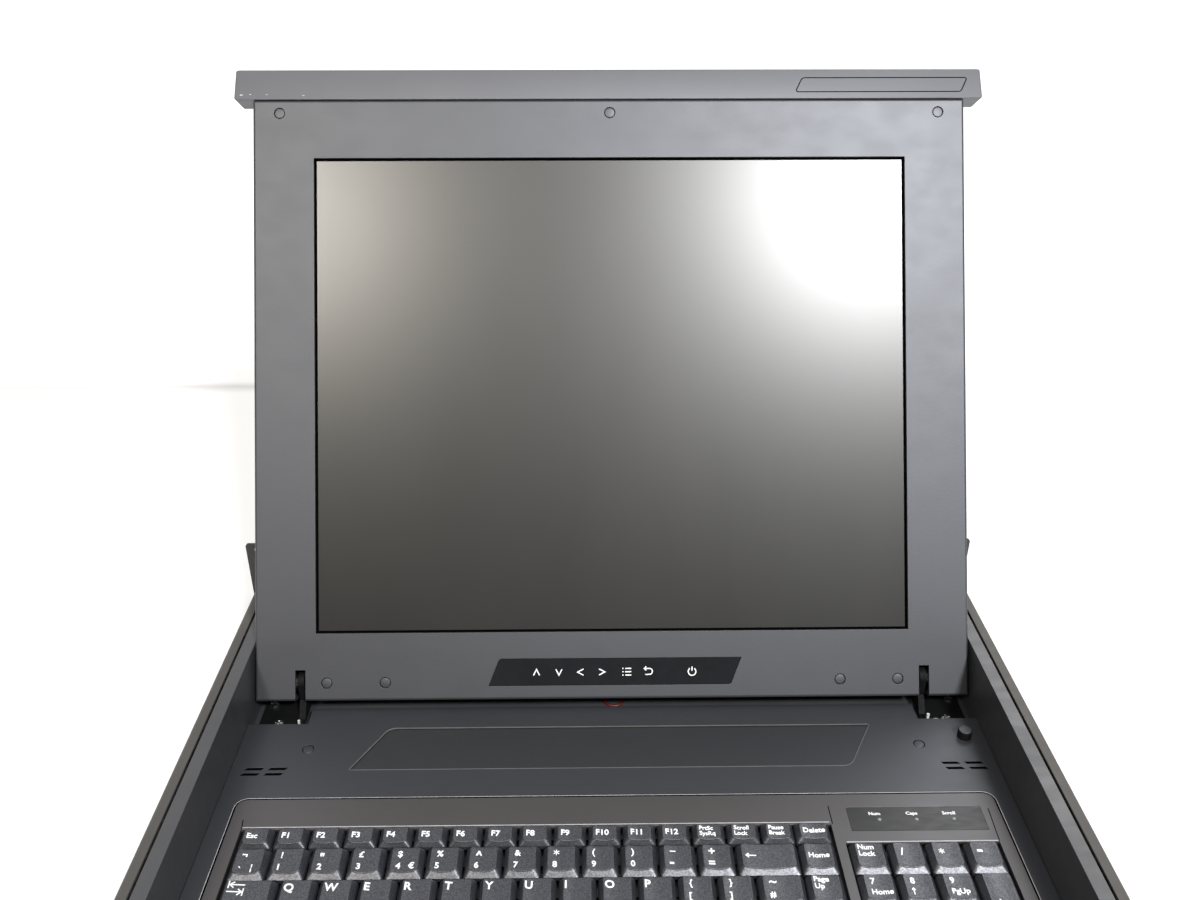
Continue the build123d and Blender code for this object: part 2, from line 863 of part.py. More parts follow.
def key_cap(width, depth):
    """A key cap over its skirt's middle: where its two outlines meet, with a faceted dish and a stem."""
    half = width / 2
    edge = half - key_side_draft
    flat = edge - key_dish_slope
    low = key_top_z - key_dish
    base = [(-half, key_base_z), (half, key_base_z)]
    dish = [(edge, key_top_z), (flat, low), (-flat, low), (-edge, key_top_z)]
    cap = extrude(Plane.XZ.offset(-depth / 2) * make_face(Polyline(*base, *dish, close=True)), depth)
    side = [
        (-depth / 2, key_base_z),
        (depth / 2, key_base_z),
        (depth / 2 - key_rear_draft, key_top_z),
        (-depth / 2 + key_front_draft, key_top_z),
    ]
    cap &= extrude(Plane.YZ.offset(-half) * make_face(Polyline(*side, close=True)), width)
    return cap + centred(0, 0, (key_stem_bottom, key_base_z + over_cut), key_stem, key_stem)


def key_places():
    """Every key as node name, centre x, centre y, width and depth."""
    places = []

    def add(node, left, front, units, depth=key_depth):
        width = units * key_pitch - key_gap
        places.append((node, left + units * key_pitch / 2, front + depth / 2, width, depth))

    for row, (node, widths) in enumerate(key_rows.items()):
        left = block_left_x
        for units in widths:
            add(node, left, row_front_y(row), units)
            left += units * key_pitch
    left = block_left_x
    bottom = row_front_y(4)
    for units in modifier_units:
        add("modifier_keys", left, bottom, units)
        left += units * key_pitch
    add("space_bar", left, bottom, space_units)
    left += space_units * key_pitch
    for units in right_modifier_units:
        add("modifier_keys", left, bottom, units)
        left += units * key_pitch
    function_front = deck_rear_y - function_row_back
    for index in range(function_count):
        x = block_left_x + key_gap / 2 + index * function_pitch + function_key_width / 2
        y = function_front + function_key_depth / 2
        places.append(("function_keys", x, y, function_key_width, function_key_depth))
    add("navigation_keys", nav_left_x, function_front, 1, function_key_depth)
    for row in range(5):
        add("navigation_keys", nav_left_x, row_front_y(row), 1)
    tall = key_pitch + key_depth
    for row in range(4):
        columns = 4 if row == 0 else 3
        for column in range(columns):
            add("numpad_keys", pad_left_x + column * key_pitch, row_front_y(row), 1)
    add("numpad_keys", pad_left_x, row_front_y(4), 2)
    add("numpad_keys", pad_left_x + 2 * key_pitch, row_front_y(4), 1)
    for row in (2, 4):
        add("numpad_keys", pad_left_x + 3 * key_pitch, row_front_y(row), 1, tall)
    return places


def key_groups():
    """One compound of key caps for each group of keys."""
    caps = {}
    groups = {}
    for node, x, y, width, depth in key_places():
        size = (round(width, 3), round(depth, 3))
        if size not in caps:
            caps[size] = key_cap(width, depth)
        groups.setdefault(node, []).append(Pos(x, y, 0) * caps[size])
    return {node: Compound(keys) for node, keys in groups.items()}


def stem_slots():
    """Slots in the frame's web that guide the key stems, one along each row on either side of the divider."""
    rows = {}
    for _, x, y, _, _ in key_places():
        rows.setdefault((x > divider_left_x, round(y, 3)), []).append(x)
    slots = []
    half = key_stem / 2 + key_stem_clearance
    slot_z = (frame_bottom, key_base_z)
    for (_, y), xs in rows.items():
        slots.append(block((min(xs) - half, max(xs) + half), (y - half, y + half), slot_z))
    return slots


def keyboard_frame():
    """The keyboard's moulded frame: rim, divider, key wells and the web that guides the stems."""
    half = keyboard_half_width
    frame = block((-half, half), (keyboard_front_y, keyboard_rear_y), (frame_bottom, keyboard_top))
    frame = fillet(frame.edges().filter_by(Axis.Z), keyboard_corner)
    front = row_front_y(4) - well_front_gap
    main_rear = deck_rear_y - main_well_back
    pad_rear = deck_rear_y - pad_well_back
    well_z = (web_top, keyboard_top + over_cut)
    frame -= block((well_left_x, divider_left_x), (front, main_rear), well_z)
    frame -= block((divider_right_x, well_right_x), (front, pad_rear), well_z)
    under_z = (frame_bottom - over_cut, web_top - web_thickness)
    frame -= block((well_left_x, divider_left_x), (front, main_rear), under_z)
    frame -= block((divider_right_x, well_right_x), (front, pad_rear), under_z)
    holes = stem_slots()
    window_z = (keyboard_top - window_depth, keyboard_top + over_cut)
    window_y = deck_rear_y - window_back
    holes.append(centred(window_x, window_y, window_z, window_width + window_fit, window_height + window_fit))
    for lamp in range(-1, 2):
        x = window_x + lamp * lamp_pitch
        holes.append(post(x, deck_rear_y - lamp_back, (keyboard_top - lamp_depth, keyboard_top), lamp_d))
    return frame - holes


def keyboard_back_plate():
    """The steel plate under the keyboard."""
    half = keyboard_half_width - deck_seam
    y_range = (keyboard_front_y + deck_seam, keyboard_rear_y - deck_seam)
    return block((-half, half), y_range, (drawer_floor, drawer_floor + back_plate))


def key_contact_sheet():
    """The rubber contact sheet, between the plate and the frame."""
    half = keyboard_half_width - deck_seam
    y_range = (keyboard_front_y + deck_seam, keyboard_rear_y - deck_seam)
    low = drawer_floor + back_plate
    return block((-half, half), y_range, (low, low + dome_sheet))


def lamp_window():
    """The dark label over the lamps, with a hole for each."""
    y = deck_rear_y - window_back
    window = centred(window_x, y, (keyboard_top - window_depth, keyboard_top), window_width, window_height)
    hole_z = (keyboard_top - lamp_depth, keyboard_top + over_cut)
    for lamp in range(-1, 2):
        window -= post(window_x + lamp * lamp_pitch, deck_rear_y - lamp_back, hole_z, lamp_d)
    return window


def status_lamps():
    """Three small lamps for the keyboard's locks."""
    y = deck_rear_y - lamp_back
    lamp_z = (keyboard_top - lamp_depth, keyboard_top + lamp_rise)
    return Compound([post(window_x + lamp * lamp_pitch, y, lamp_z, lamp_d) for lamp in range(-1, 2)])


def cap_hole(x, y, face_z):
    """The shallow hole for a screw cap in a face at face_z, with a gap round the cap."""
    return post(x, y, (face_z - cap_depth, face_z + over_cut), cap_d + 2 * cap_fit, cap_sides)


def screw_cap(x, y, face_z):
    """A round cap over a screw, a little below a face at face_z."""
    return post(x, y, (face_z - cap_depth, face_z - cap_recess), cap_d)


def deck_caps():
    """Round caps over the deck's two screws."""
    cap = screw_cap(deck_cap_x, deck_rear_y - deck_cap_back, deck_top)
    return Compound(both_sides(cap))


def hinge_bracket():
    """The right hinge bracket: a foot screwed to the tray and an arm with a round bored end."""
    foot_z = (drawer_floor, drawer_floor + foot_thickness)
    foot = block((arm_inner, arm_outer + foot_reach), (hinge_y - foot_front, hinge_y + foot_rear), foot_z)
    heel = [
        (hinge_y - foot_front + arm_heel, drawer_floor),
        (hinge_y + arm_end_radius, drawer_floor),
        (hinge_y + arm_end_radius, hinge_z),
        (hinge_y - arm_end_radius, hinge_z),
        (hinge_y - arm_end_radius, hinge_z - arm_heel),
    ]
    profile = make_face(Polyline(*heel, close=True)) + Pos(hinge_y, hinge_z) * Circle(arm_end_radius)
    arm = extrude(Plane.YZ.offset(arm_inner) * profile, arm_thickness)
    bore_x = (arm_inner - over_cut, arm_outer + over_cut)
    bore = journal(bore_x, hinge_y, hinge_z, shaft_d + 2 * shaft_clearance)
    return foot + arm - bore


def hinge_screws():
    """Two screws in the right hinge bracket's foot."""
    seat = drawer_floor + foot_thickness
    heads_z = (seat, seat + small_head_height)
    near = post(arm_outer + foot_screw_near, hinge_y - foot_screw_front, heads_z, small_head_d)
    far = post(arm_outer + foot_screw_far, hinge_y, heads_z, small_head_d)
    return [near, far]


def hinge_shaft():
    """The right hinge's shaft in the lid's frame: round in the arm, flat beside it, with a riveted end."""
    outer = lug_inner + lug_thickness
    inner = arm_inner - washer_gap - washer_stack - nut_height - shaft_end
    shaft = across((inner, outer), hinge_up, -hinge_in, shaft_flats_d)
    shaft += journal((arm_inner - washer_gap, arm_outer + washer_gap), hinge_up, -hinge_in, shaft_d)
    shaft += across((outer, outer + rivet_height), hinge_up, -hinge_in, rivet_d)
    return shaft


def hinge_washers():
    """Friction washers on both sides of the right hinge's arm."""
    outer_x = (arm_outer + washer_gap, lug_inner)
    inner_x = (arm_inner - washer_gap - washer_stack, arm_inner - washer_gap)
    stacks = []
    for x_range in (outer_x, inner_x):
        stack = across(x_range, hinge_up, -hinge_in, washer_d)
        hole_x = (x_range[0] - over_cut, x_range[1] + over_cut)
        stacks.append(stack - across(hole_x, hinge_up, -hinge_in, shaft_flats_d))
    return stacks


def hinge_nut():
    """The nut that sets the right hinge's friction."""
    high = arm_inner - washer_gap - washer_stack
    flat = RegularPolygon(nut_width / 2, 6, major_radius=False)
    nut = Pos(high - nut_height, hinge_up, -hinge_in) * extrude(Plane.YZ * flat, nut_height)
    hole_x = (high - nut_height - over_cut, high + over_cut)
    return nut - across(hole_x, hinge_up, -hinge_in, shaft_flats_d)


def hinge_friction_stacks():
    """The washers and the nut of both hinges."""
    right = hinge_washers() + [hinge_nut()]
    return Compound([each for piece in right for each in both_sides(piece)])


def lid_rail():
    """The right rail: it holds the screen's side and ends in the lug on the hinge shaft."""
    side = panel_width / 2
    spine_v = (rail_bottom + rail_spine_rise, rail_top)
    spine = block((side, side + rail_sheet), spine_v, (-rail_depth, -panel_front - rail_front_gap))
    web_x = (side, side + rail_sheet + rail_width)
    web = block(web_x, (rail_bottom, rail_top), (-rail_depth, -rail_depth + rail_sheet))
    round_end = Pos(hinge_up, -hinge_in) * Circle(lug_front_radius)
    tail = Pos(hinge_up, -(hinge_in + rail_depth) / 2)
    tail *= Rectangle(2 * lug_front_radius, rail_depth - hinge_in)
    neck_low = hinge_up - lug_front_radius
    neck_high = rail_bottom + rail_neck_rise
    neck = Pos((neck_low + neck_high) / 2, -rail_depth + rail_neck_depth / 2)
    neck *= Rectangle(neck_high - neck_low, rail_neck_depth)
    lug = extrude(Plane.YZ.offset(lug_inner) * (round_end + tail + neck), lug_thickness)
    hole_x = (lug_inner - over_cut, lug_inner + lug_thickness + over_cut)
    lug -= across(hole_x, hinge_up, -hinge_in, shaft_flats_d)
    return spine + web + lug


def hinge_slots():
    """Slots in the lid's foot through which the hinge arms swing."""
    x_range = (hinge_x - hinge_slot_width / 2, hinge_x + hinge_slot_width / 2)
    slot = block(x_range, (-over_cut, hinge_slot_height), (-hinge_slot_depth, over_cut))
    return both_sides(slot)


def lid_shell(z_range, wall, open_at_back, soften):
    """Half of the lid: a plate with softened edges and skirts, hollow on the side away from its face."""
    half = lid_half
    shell = block((-half, half), (0, lid_height), z_range)
    face = shell.faces().sort_by(Axis.Z)[-1 if open_at_back else 0]
    shell = soften(face.edges(), lid_edge_round)
    low, high = z_range
    inner_z = (low - over_cut, high - wall) if open_at_back else (low + wall, high + over_cut)
    return shell - block((-half + wall, half - wall), (wall, lid_height - wall), inner_z)


def menu_outline(fit):
    """The menu strip's leaning outline, grown by fit."""
    flat = leaning(strip_width + 2 * fit, strip_height + 2 * fit, strip_lean / 2, strip_corner)
    return Pos(strip_x, strip_v) * flat


def lid_bezel():
    """The lid's front: the moulded frame round the screen."""
    bezel = lid_shell((-lid_split, 0), bezel_wall, True, fillet)
    half = screen_opening_width / 2
    opening_v = (screen_bottom, screen_bottom + screen_opening_height)
    bezel -= block((-half, half), opening_v, (-lid_split, over_cut))
    for slot in hinge_slots():
        bezel -= slot
    recess = extrude(menu_outline(strip_fit), strip_depth + strip_recess + over_cut)
    bezel -= Pos(0, 0, -strip_depth - strip_recess) * recess
    for x, y in lid_cap_places():
        bezel -= cap_hole(x, y, 0)
    return bezel


def lid_back():
    """The lid's back: a shallow shell with vent slots over the screen's electronics."""
    back = lid_shell((-lid_thickness, -lid_split), back_wall, False, chamfer)
    for slot in hinge_slots():
        back -= slot
    cut_z = (-lid_thickness - over_cut, -lid_thickness + back_wall + over_cut)
    middle = lid_height / 2 + lid_vent_rise
    for side in (-1, 1):
        for index in range(cover_vent_count):
            v = middle + (index - (cover_vent_count - 1) / 2) * cover_vent_pitch
            back -= centred(side * cover_vent_x, v, cut_z, cover_vent_length, cover_vent_width)
    return back


def lid_cap_places():
    """Centres of the lid's seven screw caps."""
    top_v = lid_height - lid_cap_top_inset
    top = [(side * (lid_half - lid_cap_side_inset), top_v) for side in (-1, 0, 1)]
    low_x = (hinge_x - lid_cap_far_hinge, hinge_x - lid_cap_near_hinge)
    low = [(side * x, lid_cap_low_v) for x in low_x for side in (-1, 1)]
    return top + low


def lid_caps():
    """Round caps over the lid's screws."""
    return Compound([screw_cap(x, y, 0) for x, y in lid_cap_places()])


def screen_glass():
    """The screen's matt front."""
    return centred(0, screen_mid_v, (-panel_front, -glass_front), glass_width, glass_height)


def screen_panel():
    """The flat panel behind the glass."""
    return centred(0, screen_mid_v, (-panel_rear, -panel_front), panel_width, panel_height)


def board_with_parts(width, height, z_low, parts):
    """A circuit board with block-shaped parts on its upper side, placed by shares of its width and height."""
    board = centred(0, 0, (z_low, z_low + board_thickness), width, height)
    top = z_low + board_thickness
    for share_x, share_y, part_width, part_depth, rise in parts:
        board += centred(share_x * width, share_y * height, (top, top + rise), part_width, part_depth)
    return board


def screen_driver_board():
    """The screen's controller board, fixed to the panel's back."""
    parts = [
        (-0.25, 0.15, chip_side, chip_side, part_height),
        (0.12, 0, small_chip_side, small_chip_side, part_height),
        (0.33, -0.25, coil_width, small_chip_side, part_height),
    ]
    board = board_with_parts(driver_board_width, driver_board_height, 0, parts)
    return Pos(driver_board_x, driver_board_v, -panel_rear) * Rot(0, 180, 0) * board


def backlight_board():
    """The backlight's supply board, fixed to the panel's back."""
    parts = [
        (-0.35, 0, small_chip_side, coil_width, part_height),
        (0.23, 0, coil_length, coil_width, part_height),
    ]
    board = board_with_parts(inverter_width, inverter_height, 0, parts)
    return Pos(0, inverter_v, -panel_rear) * Rot(0, 180, 0) * board


def menu_strip():
    """The glossy touch strip for the screen's menu."""
    strip = extrude(menu_outline(0), strip_depth)
    return Pos(0, 0, -strip_depth - strip_recess) * strip


def menu_board():
    """The touch strip's board behind the bezel."""
    high = -bezel_wall
    return centred(strip_x, strip_v, (high - board_thickness, high), menu_board_width, menu_board_height)


def lid_boards():
    """The lid's three circuit boards."""
    return Compound([screen_driver_board(), backlight_board(), menu_board()])


def beam_outline():
    """The beam's section: up the lid and out of the bezel."""
    return [
        (beam_bottom_v, beam_lip),
        (beam_nose_v, -beam_nose_depth),
        (beam_front_v, -beam_front_depth),
        (beam_front_v, -lid_thickness),
        (beam_bottom_v, -lid_thickness),
    ]


def lid_beam():
    """The handle beam: the unit's front when shut, with a slanted face and a groove round a blank label."""
    profile = make_face(Polyline(*beam_outline(), close=True))
    corners = profile.vertices().sort_by(Axis.X)[2:]
    profile = fillet(corners, beam_round)
    beam = extrude(Plane.YZ.offset(-beam_half_width) * profile, 2 * beam_half_width)
    ends = beam.faces().filter_by(Axis.X)
    beam = chamfer([edge for end in ends for edge in end.edges()], beam_end_chamfer / 2)
    outer = leaning(label_width, label_height, label_lean / 2, label_corner)
    inner_width = label_width - 3 * label_groove
    inner = leaning(inner_width, label_height - 2 * label_groove, label_lean / 2, label_corner - label_groove)
    groove = extrude(outer - inner, label_depth + over_cut)
    return beam - beam_slope() * Pos(label_x, label_offset, -label_depth) * groove


def beam_slope():
    """A frame on the middle of the beam's slanted face, with z out of it."""
    low = beam_outline()[0]
    high = beam_outline()[1]
    middle = Vector(0, (low[0] + high[0]) / 2, (low[1] + high[1]) / 2)
    up = Vector(0, high[0] - low[0], high[1] - low[1])
    return Plane(origin=middle, x_dir=(1, 0, 0), z_dir=Vector(1, 0, 0).cross(up)).location


def rear_cover():
    """The cover of the rear compartment: it slopes back where the open lid leans."""
    lean = radians(lid_open_angle - 90)
    foot_y = hinge_y - hinge_up * sin(lean) - hinge_in * cos(lean)
    foot_z = hinge_z - hinge_up * cos(lean) + hinge_in * sin(lean)
    reach = lid_thickness + cover_lid_gap
    slope_y = foot_y + reach * cos(lean)
    slope_z = foot_z - reach * sin(lean)
    knee_z = slope_z + (cover_front_y - slope_y) / tan(lean)
    top_y = slope_y + (cover_top - slope_z) * tan(lean)
    end_y = rear_sheet_front - cover_side_gap
    points = [(end_y, cover_top), (top_y, cover_top), (cover_front_y, knee_z), (cover_front_y, drawer_floor)]
    half = drawer_inner_half - cover_side_gap
    cover = folded(points, cover_sheet, cover_sheet, Plane.YZ, -half, 2 * half)
    for side in (-1, 1):
        for index in range(cover_vent_count):
            y = (top_y + end_y) / 2 + (index - (cover_vent_count - 1) / 2) * cover_vent_pitch
            cut_z = (cover_top - cover_sheet - over_cut, cover_top + over_cut)
            cover -= centred(side * cover_vent_x, y, cut_z, cover_vent_length, cover_vent_width)
    return cover


def rear_panel():
    """The drawer's rear wall, with a hem under the cover and openings for the connectors."""
    half = drawer_inner_half - cover_side_gap
    top = cover_top - cover_sheet
    wall = block((-half, half), (rear_sheet_front, drawer_rear_y), (drawer_floor, top))
    wall += block((-half, half), (drawer_rear_y - rear_hem, drawer_rear_y), (top - rear_sheet, top))
    return wall - connector_cuts()


def connector_cuts():
    """What the connectors take out of the rear panel."""
    span = (rear_sheet_front - over_cut, drawer_rear_y + over_cut)
    fit = 2 * port_fit
    inlet = block(
        (inlet_x - inlet_width / 2 - fit, inlet_x + inlet_width / 2 + fit),
        span,
        (inlet_z - inlet_height / 2 - fit, inlet_z + inlet_height / 2 + fit),
    )
    video = block(
        (video_x - video_width / 2 - video_cut_gap_x, video_x + video_width / 2 + video_cut_gap_x),
        span,
        (video_z - video_height / 2 - video_cut_gap_z, video_z + video_height / 2 + video_cut_gap_z),
    )
    usb_low = main_board_z + board_thickness
    usb = block(
        (usb_x - usb_width / 2 - fit, usb_x + usb_width / 2 + fit),
        span,
        (usb_low - fit, usb_low + usb_height + fit),
    )
    return [inlet, video, usb]


def power_inlet():
    """The mains inlet: a flanged socket with three blades in it."""
    rear = drawer_rear_y
    half_x = inlet_width / 2
    half_z = inlet_height / 2
    back = rear - inlet_depth
    face = rear + inlet_flange_thickness
    flange_x = half_x + inlet_flange
    flange_z = half_z + inlet_flange_rise
    socket_x = half_x - inlet_wall
    socket_z = half_z - inlet_wall
    body = block((-half_x, half_x), (back, rear), (-half_z, half_z))
    body += block((-flange_x, flange_x), (rear, face), (-flange_z, flange_z))
    body -= block((-socket_x, socket_x), (back + inlet_wall, face + over_cut), (-socket_z, socket_z))
    for side, lift in ((-1, -blade_offset), (0, blade_offset), (1, -blade_offset)):
        blade_z = (lift - blade_width / 2, lift + blade_width / 2)
        blade_x = (side * blade_spread - blade_thickness / 2, side * blade_spread + blade_thickness / 2)
        body += block(blade_x, (back, rear - blade_setback), blade_z)
    return Pos(inlet_x, 0, inlet_z) * body


def video_port():
    """The video connector: a flange, a D-shaped shell and the block behind it."""
    rear = drawer_rear_y
    half = video_width / 2
    rise = video_height / 2
    points = [(-half, rise), (half, rise), (half - video_lean, -rise), (-half + video_lean, -rise)]
    shell = make_face(Polyline(*points, close=True))
    shell = fillet(shell.vertices(), video_corner)
    place = Pos(video_x, rear + video_reach, video_z)
    port = place * extrude(Plane.XZ * shell, video_reach + rear_sheet)
    flange_z = (video_z - video_flange_height / 2, video_z + video_flange_height / 2)
    flange_x = (video_x - video_flange_width / 2, video_x + video_flange_width / 2)
    port += block(flange_x, (rear_sheet_front - port_flange, rear_sheet_front), flange_z)
    block_z = (main_board_z + board_thickness, flange_z[1] - video_block_drop)
    port += block(flange_x, (rear_sheet_front - video_block_depth, rear_sheet_front - port_flange), block_z)
    return port


def usb_port():
    """The keyboard and mouse port: a square metal shell round a tongue."""
    rear = drawer_rear_y + usb_reach
    low = main_board_z + board_thickness
    half = usb_width / 2
    body = block((usb_x - half, usb_x + half), (rear - usb_depth, rear), (low, low + usb_height))
    body -= block(
        (usb_x - half + usb_wall, usb_x + half - usb_wall),
        (rear - usb_depth + usb_back_wall, rear + over_cut),
        (low + usb_wall, low + usb_height - usb_wall),
    )
    tongue_z = low + usb_height / 2
    body += block(
        (usb_x - usb_tongue_width / 2, usb_x + usb_tongue_width / 2),
        (rear - usb_depth, rear - usb_tongue_setback),
        (tongue_z - usb_tongue_height / 2, tongue_z + usb_tongue_height / 2),
    )
    return body


def main_board():
    """The drawer's main board on four standoffs, with its larger parts."""
    depth = main_board_rear_y - main_board_front_y
    mid_y = (main_board_rear_y + main_board_front_y) / 2
    parts = [
        (-0.33, -0.12, processor_side, processor_side, processor_height),
        (-0.08, 0.06, chip_side, chip_side, part_height),
        (0.22, -0.25, small_chip_side, chip_side, heat_sink_height),
        (0.39, -0.25, coil_width, coil_width, coil_height),
    ]
    board = Pos(main_board_x, mid_y, 0)
    board *= board_with_parts(main_board_width, depth, main_board_z, parts)
    for x in (-1, 1):
        for y in (-1, 1):
            post_x = main_board_x + x * (main_board_width / 2 - standoff_d)
            post_y = mid_y + y * (depth / 2 - standoff_d)
            board += post(post_x, post_y, (drawer_floor, main_board_z), standoff_d)
    return board


def power_supply():
    """The power supply's closed box, on the tray's floor in front of the inlet."""
    x_range = (supply_x - supply_width / 2, supply_x + supply_width / 2)
    return block(x_range, (supply_front_y, supply_rear_y), (drawer_floor, drawer_floor + supply_height))


def cover_screws():
    """Flat-headed screws on the right of the rear cover's back edge."""
    y = drawer_rear_y - rear_hem / 2 - rear_sheet / 2
    heads_z = (cover_top, cover_top + cover_top_gap)
    outer_x = drawer_inner_half - cover_screw_inset
    return [post(x, y, heads_z, small_head_d) for x in (cover_screw_inner_x, outer_x)]


def drawer_screws():
    """The drawer's screws, on both sides."""
    right = hinge_screws() + cover_screws()
    return Compound([each for screw in right for each in both_sides(screw)])


def wire_loom():
    """A wire looped forward into the well and back, on the drawer's floor."""
    z = drawer_floor + loom_d / 2 + loom_floor_gap
    rear = cover_front_y - loom_rear_gap
    start = (loom_left_x, rear, z)
    points = [start, (loom_left_x, loom_front_y, z), (loom_right_x, loom_front_y, z), (loom_right_x, rear, z)]
    route = FilletPolyline(*points, radius=loom_bend)
    section = Plane(origin=start, z_dir=(0, -1, 0)) * RegularPolygon(loom_d / 2, loom_sides)
    return sweep(section, path=route)


def write(name, shape):
    """Writes one node's file."""
    export_step(shape, os.path.join("parts", name + ".step"))


def write_pair(name, shape):
    """Writes a right-hand node and its left-hand mirror image."""
    write(name + "_right", shape)
    write(name + "_left", mirror(shape, Plane.YZ))


def write_case():
    write("case_pan", case_pan())
    write_pair("front_ear", front_ear())
    write_pair("rear_bracket", rear_bracket())
    write("case_screws", case_screws())


def write_slides():
    write_pair("slide_outer", slide_outer())
    write_pair("slide_middle", slide_middle())
    write_pair("slide_inner", slide_inner())
    write("outer_ball_cages", ball_cages(0))
    write("inner_ball_cages", ball_cages(1))


def write_drawer():
    write("drawer_tray", drawer_tray())
    write("deck_cover", deck_cover())
    write("deck_caps", deck_caps())
    write("touchpad_surface", touchpad_surface())
    write("touchpad_button_left", touchpad_button(-1))
    write("touchpad_button_right", touchpad_button(1))
    write("touchpad_board", touchpad_board())
    write("lid_switch_plunger", lid_switch_plunger())
    write("lid_switch", lid_switch())
    write_pair("hinge_bracket", hinge_bracket())
    write("rear_cover", rear_cover())
    write("drawer_screws", drawer_screws())
    write("rear_panel", rear_panel())
    write("power_inlet", power_inlet())
    write("video_port", video_port())
    write("usb_port", usb_port())
    write("main_board", main_board())
    write("power_supply", power_supply())
    write("wire_loom", wire_loom())


def write_keyboard():
    write("keyboard_back_plate", keyboard_back_plate())
    write("key_contact_sheet", key_contact_sheet())
    write("keyboard_frame", keyboard_frame())
    write("lamp_window", lamp_window())
    write("status_lamps", status_lamps())
    for name, group in key_groups().items():
        write(name, group)


def write_lid():
    write("lid_bezel", on_lid(lid_bezel()))
    write("lid_back", on_lid(lid_back()))
    write("lid_caps", on_lid(lid_caps()))
    write("lid_beam", on_lid(lid_beam()))
    write("screen_glass", on_lid(screen_glass()))
    write("screen_panel", on_lid(screen_panel()))
    write("lid_boards", on_lid(lid_boards()))
    write("menu_strip", on_lid(menu_strip()))
    write("lid_rails", on_lid(Compound(both_sides(lid_rail()))))
    write("hinge_shafts", on_lid(Compound(both_sides(hinge_shaft()))))
    write("hinge_friction_stacks", on_lid(hinge_friction_stacks()))


os.makedirs("parts", exist_ok=True)
write_case()
write_slides()
write_drawer()
write_keyboard()
write_lid()
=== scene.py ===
from itertools import product
from math import pi, radians
import json

import bmesh
import bpy
import numpy as np
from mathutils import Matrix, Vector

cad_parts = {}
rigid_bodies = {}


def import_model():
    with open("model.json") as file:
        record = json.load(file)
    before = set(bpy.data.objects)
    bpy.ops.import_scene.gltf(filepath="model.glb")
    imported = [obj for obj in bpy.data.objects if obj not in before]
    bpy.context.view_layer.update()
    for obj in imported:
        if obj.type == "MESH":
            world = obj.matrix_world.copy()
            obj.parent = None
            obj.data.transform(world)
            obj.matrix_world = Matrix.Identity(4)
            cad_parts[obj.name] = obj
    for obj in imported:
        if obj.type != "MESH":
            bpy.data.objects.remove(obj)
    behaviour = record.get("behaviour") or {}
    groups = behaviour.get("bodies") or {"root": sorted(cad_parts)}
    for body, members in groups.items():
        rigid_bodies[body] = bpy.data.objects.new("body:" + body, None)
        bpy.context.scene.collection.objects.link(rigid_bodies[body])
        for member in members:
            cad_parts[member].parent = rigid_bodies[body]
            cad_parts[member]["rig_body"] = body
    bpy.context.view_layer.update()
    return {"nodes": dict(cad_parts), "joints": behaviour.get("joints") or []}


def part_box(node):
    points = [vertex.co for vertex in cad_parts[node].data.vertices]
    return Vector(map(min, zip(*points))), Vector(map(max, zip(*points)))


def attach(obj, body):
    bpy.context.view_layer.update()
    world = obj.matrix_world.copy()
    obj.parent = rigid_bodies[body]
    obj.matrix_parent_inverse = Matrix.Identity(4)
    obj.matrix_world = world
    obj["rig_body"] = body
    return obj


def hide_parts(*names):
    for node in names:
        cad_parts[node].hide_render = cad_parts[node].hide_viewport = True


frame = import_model()

# A rack console drawer with its lid open, photographed from above its front edge.
# Sizes below are in millimetres; MM turns them into the frame's metres.
MM = 0.001

# Camera, fitted to the photograph
CAMERA_PLACE = (-13.745, -395.997, 435.826)
CAMERA_PITCH = 27.966
CAMERA_YAW = 0.7251
CAMERA_LENS = 32.561
SENSOR_WIDTH = 36.0

# The lid's own frame: x across, y up the lid from its foot, z out of the bezel
HINGE_UP = 10.5
HINGE_IN = 6.2
PANEL_WIDTH = 337.9
PANEL_HEIGHT = 270.3
SCREEN_MID = 175.15
GLASS_DEPTH = 2.3

# Keycaps
KEY_SIDE_DRAFT = 2.2
KEY_FRONT_DRAFT = 2.8
FUNCTION_FRONT_DRAFT = 1.5
FUNCTION_DEPTH = 14.0
KEY_REAR_DRAFT = 1.5
KEY_HEIGHT = 6.0
KEY_KNEE = 2.2
KEY_DISH = 0.75
KEY_TILT = 0.9
KEY_EDGE = 0.32
KEY_STEM = 4.2
SKIRT_CORNER = 0.9
TOP_CORNER = 1.6

# Legends
LEGEND_RISE = 0.03
LEGEND_SINK = 0.10
LEGEND_BOLD = 0.028
# Printed marks stand this far above the dished face, so that its facets don't cover them
LEGEND_LIFT = 0.1
WORD_STRETCH = 1.06
LETTER_HEIGHT = 3.9
DIGIT_HEIGHT = 3.1
LONE_SIGN_HEIGHT = 1.25 * DIGIT_HEIGHT
FUNCTION_HEIGHT = 2.9
WORD_HEIGHT = 2.6
SMALL_WORD_HEIGHT = 2.15
LAMP_WORD_HEIGHT = 1.9
STROKE_WIDTH = 0.55
STAR_WIDTH = 3.1
SIGN_SCALE = {'"': 1.35, "^": 1.35, "~": 1.35, "+": 1.3, "-": 1.6, "=": 1.3, "_": 1.1}
CENTRED_SIGNS = ('"', "^", "_", "-", "+", "=", "~", "¬", "`", ",", ".", "'")
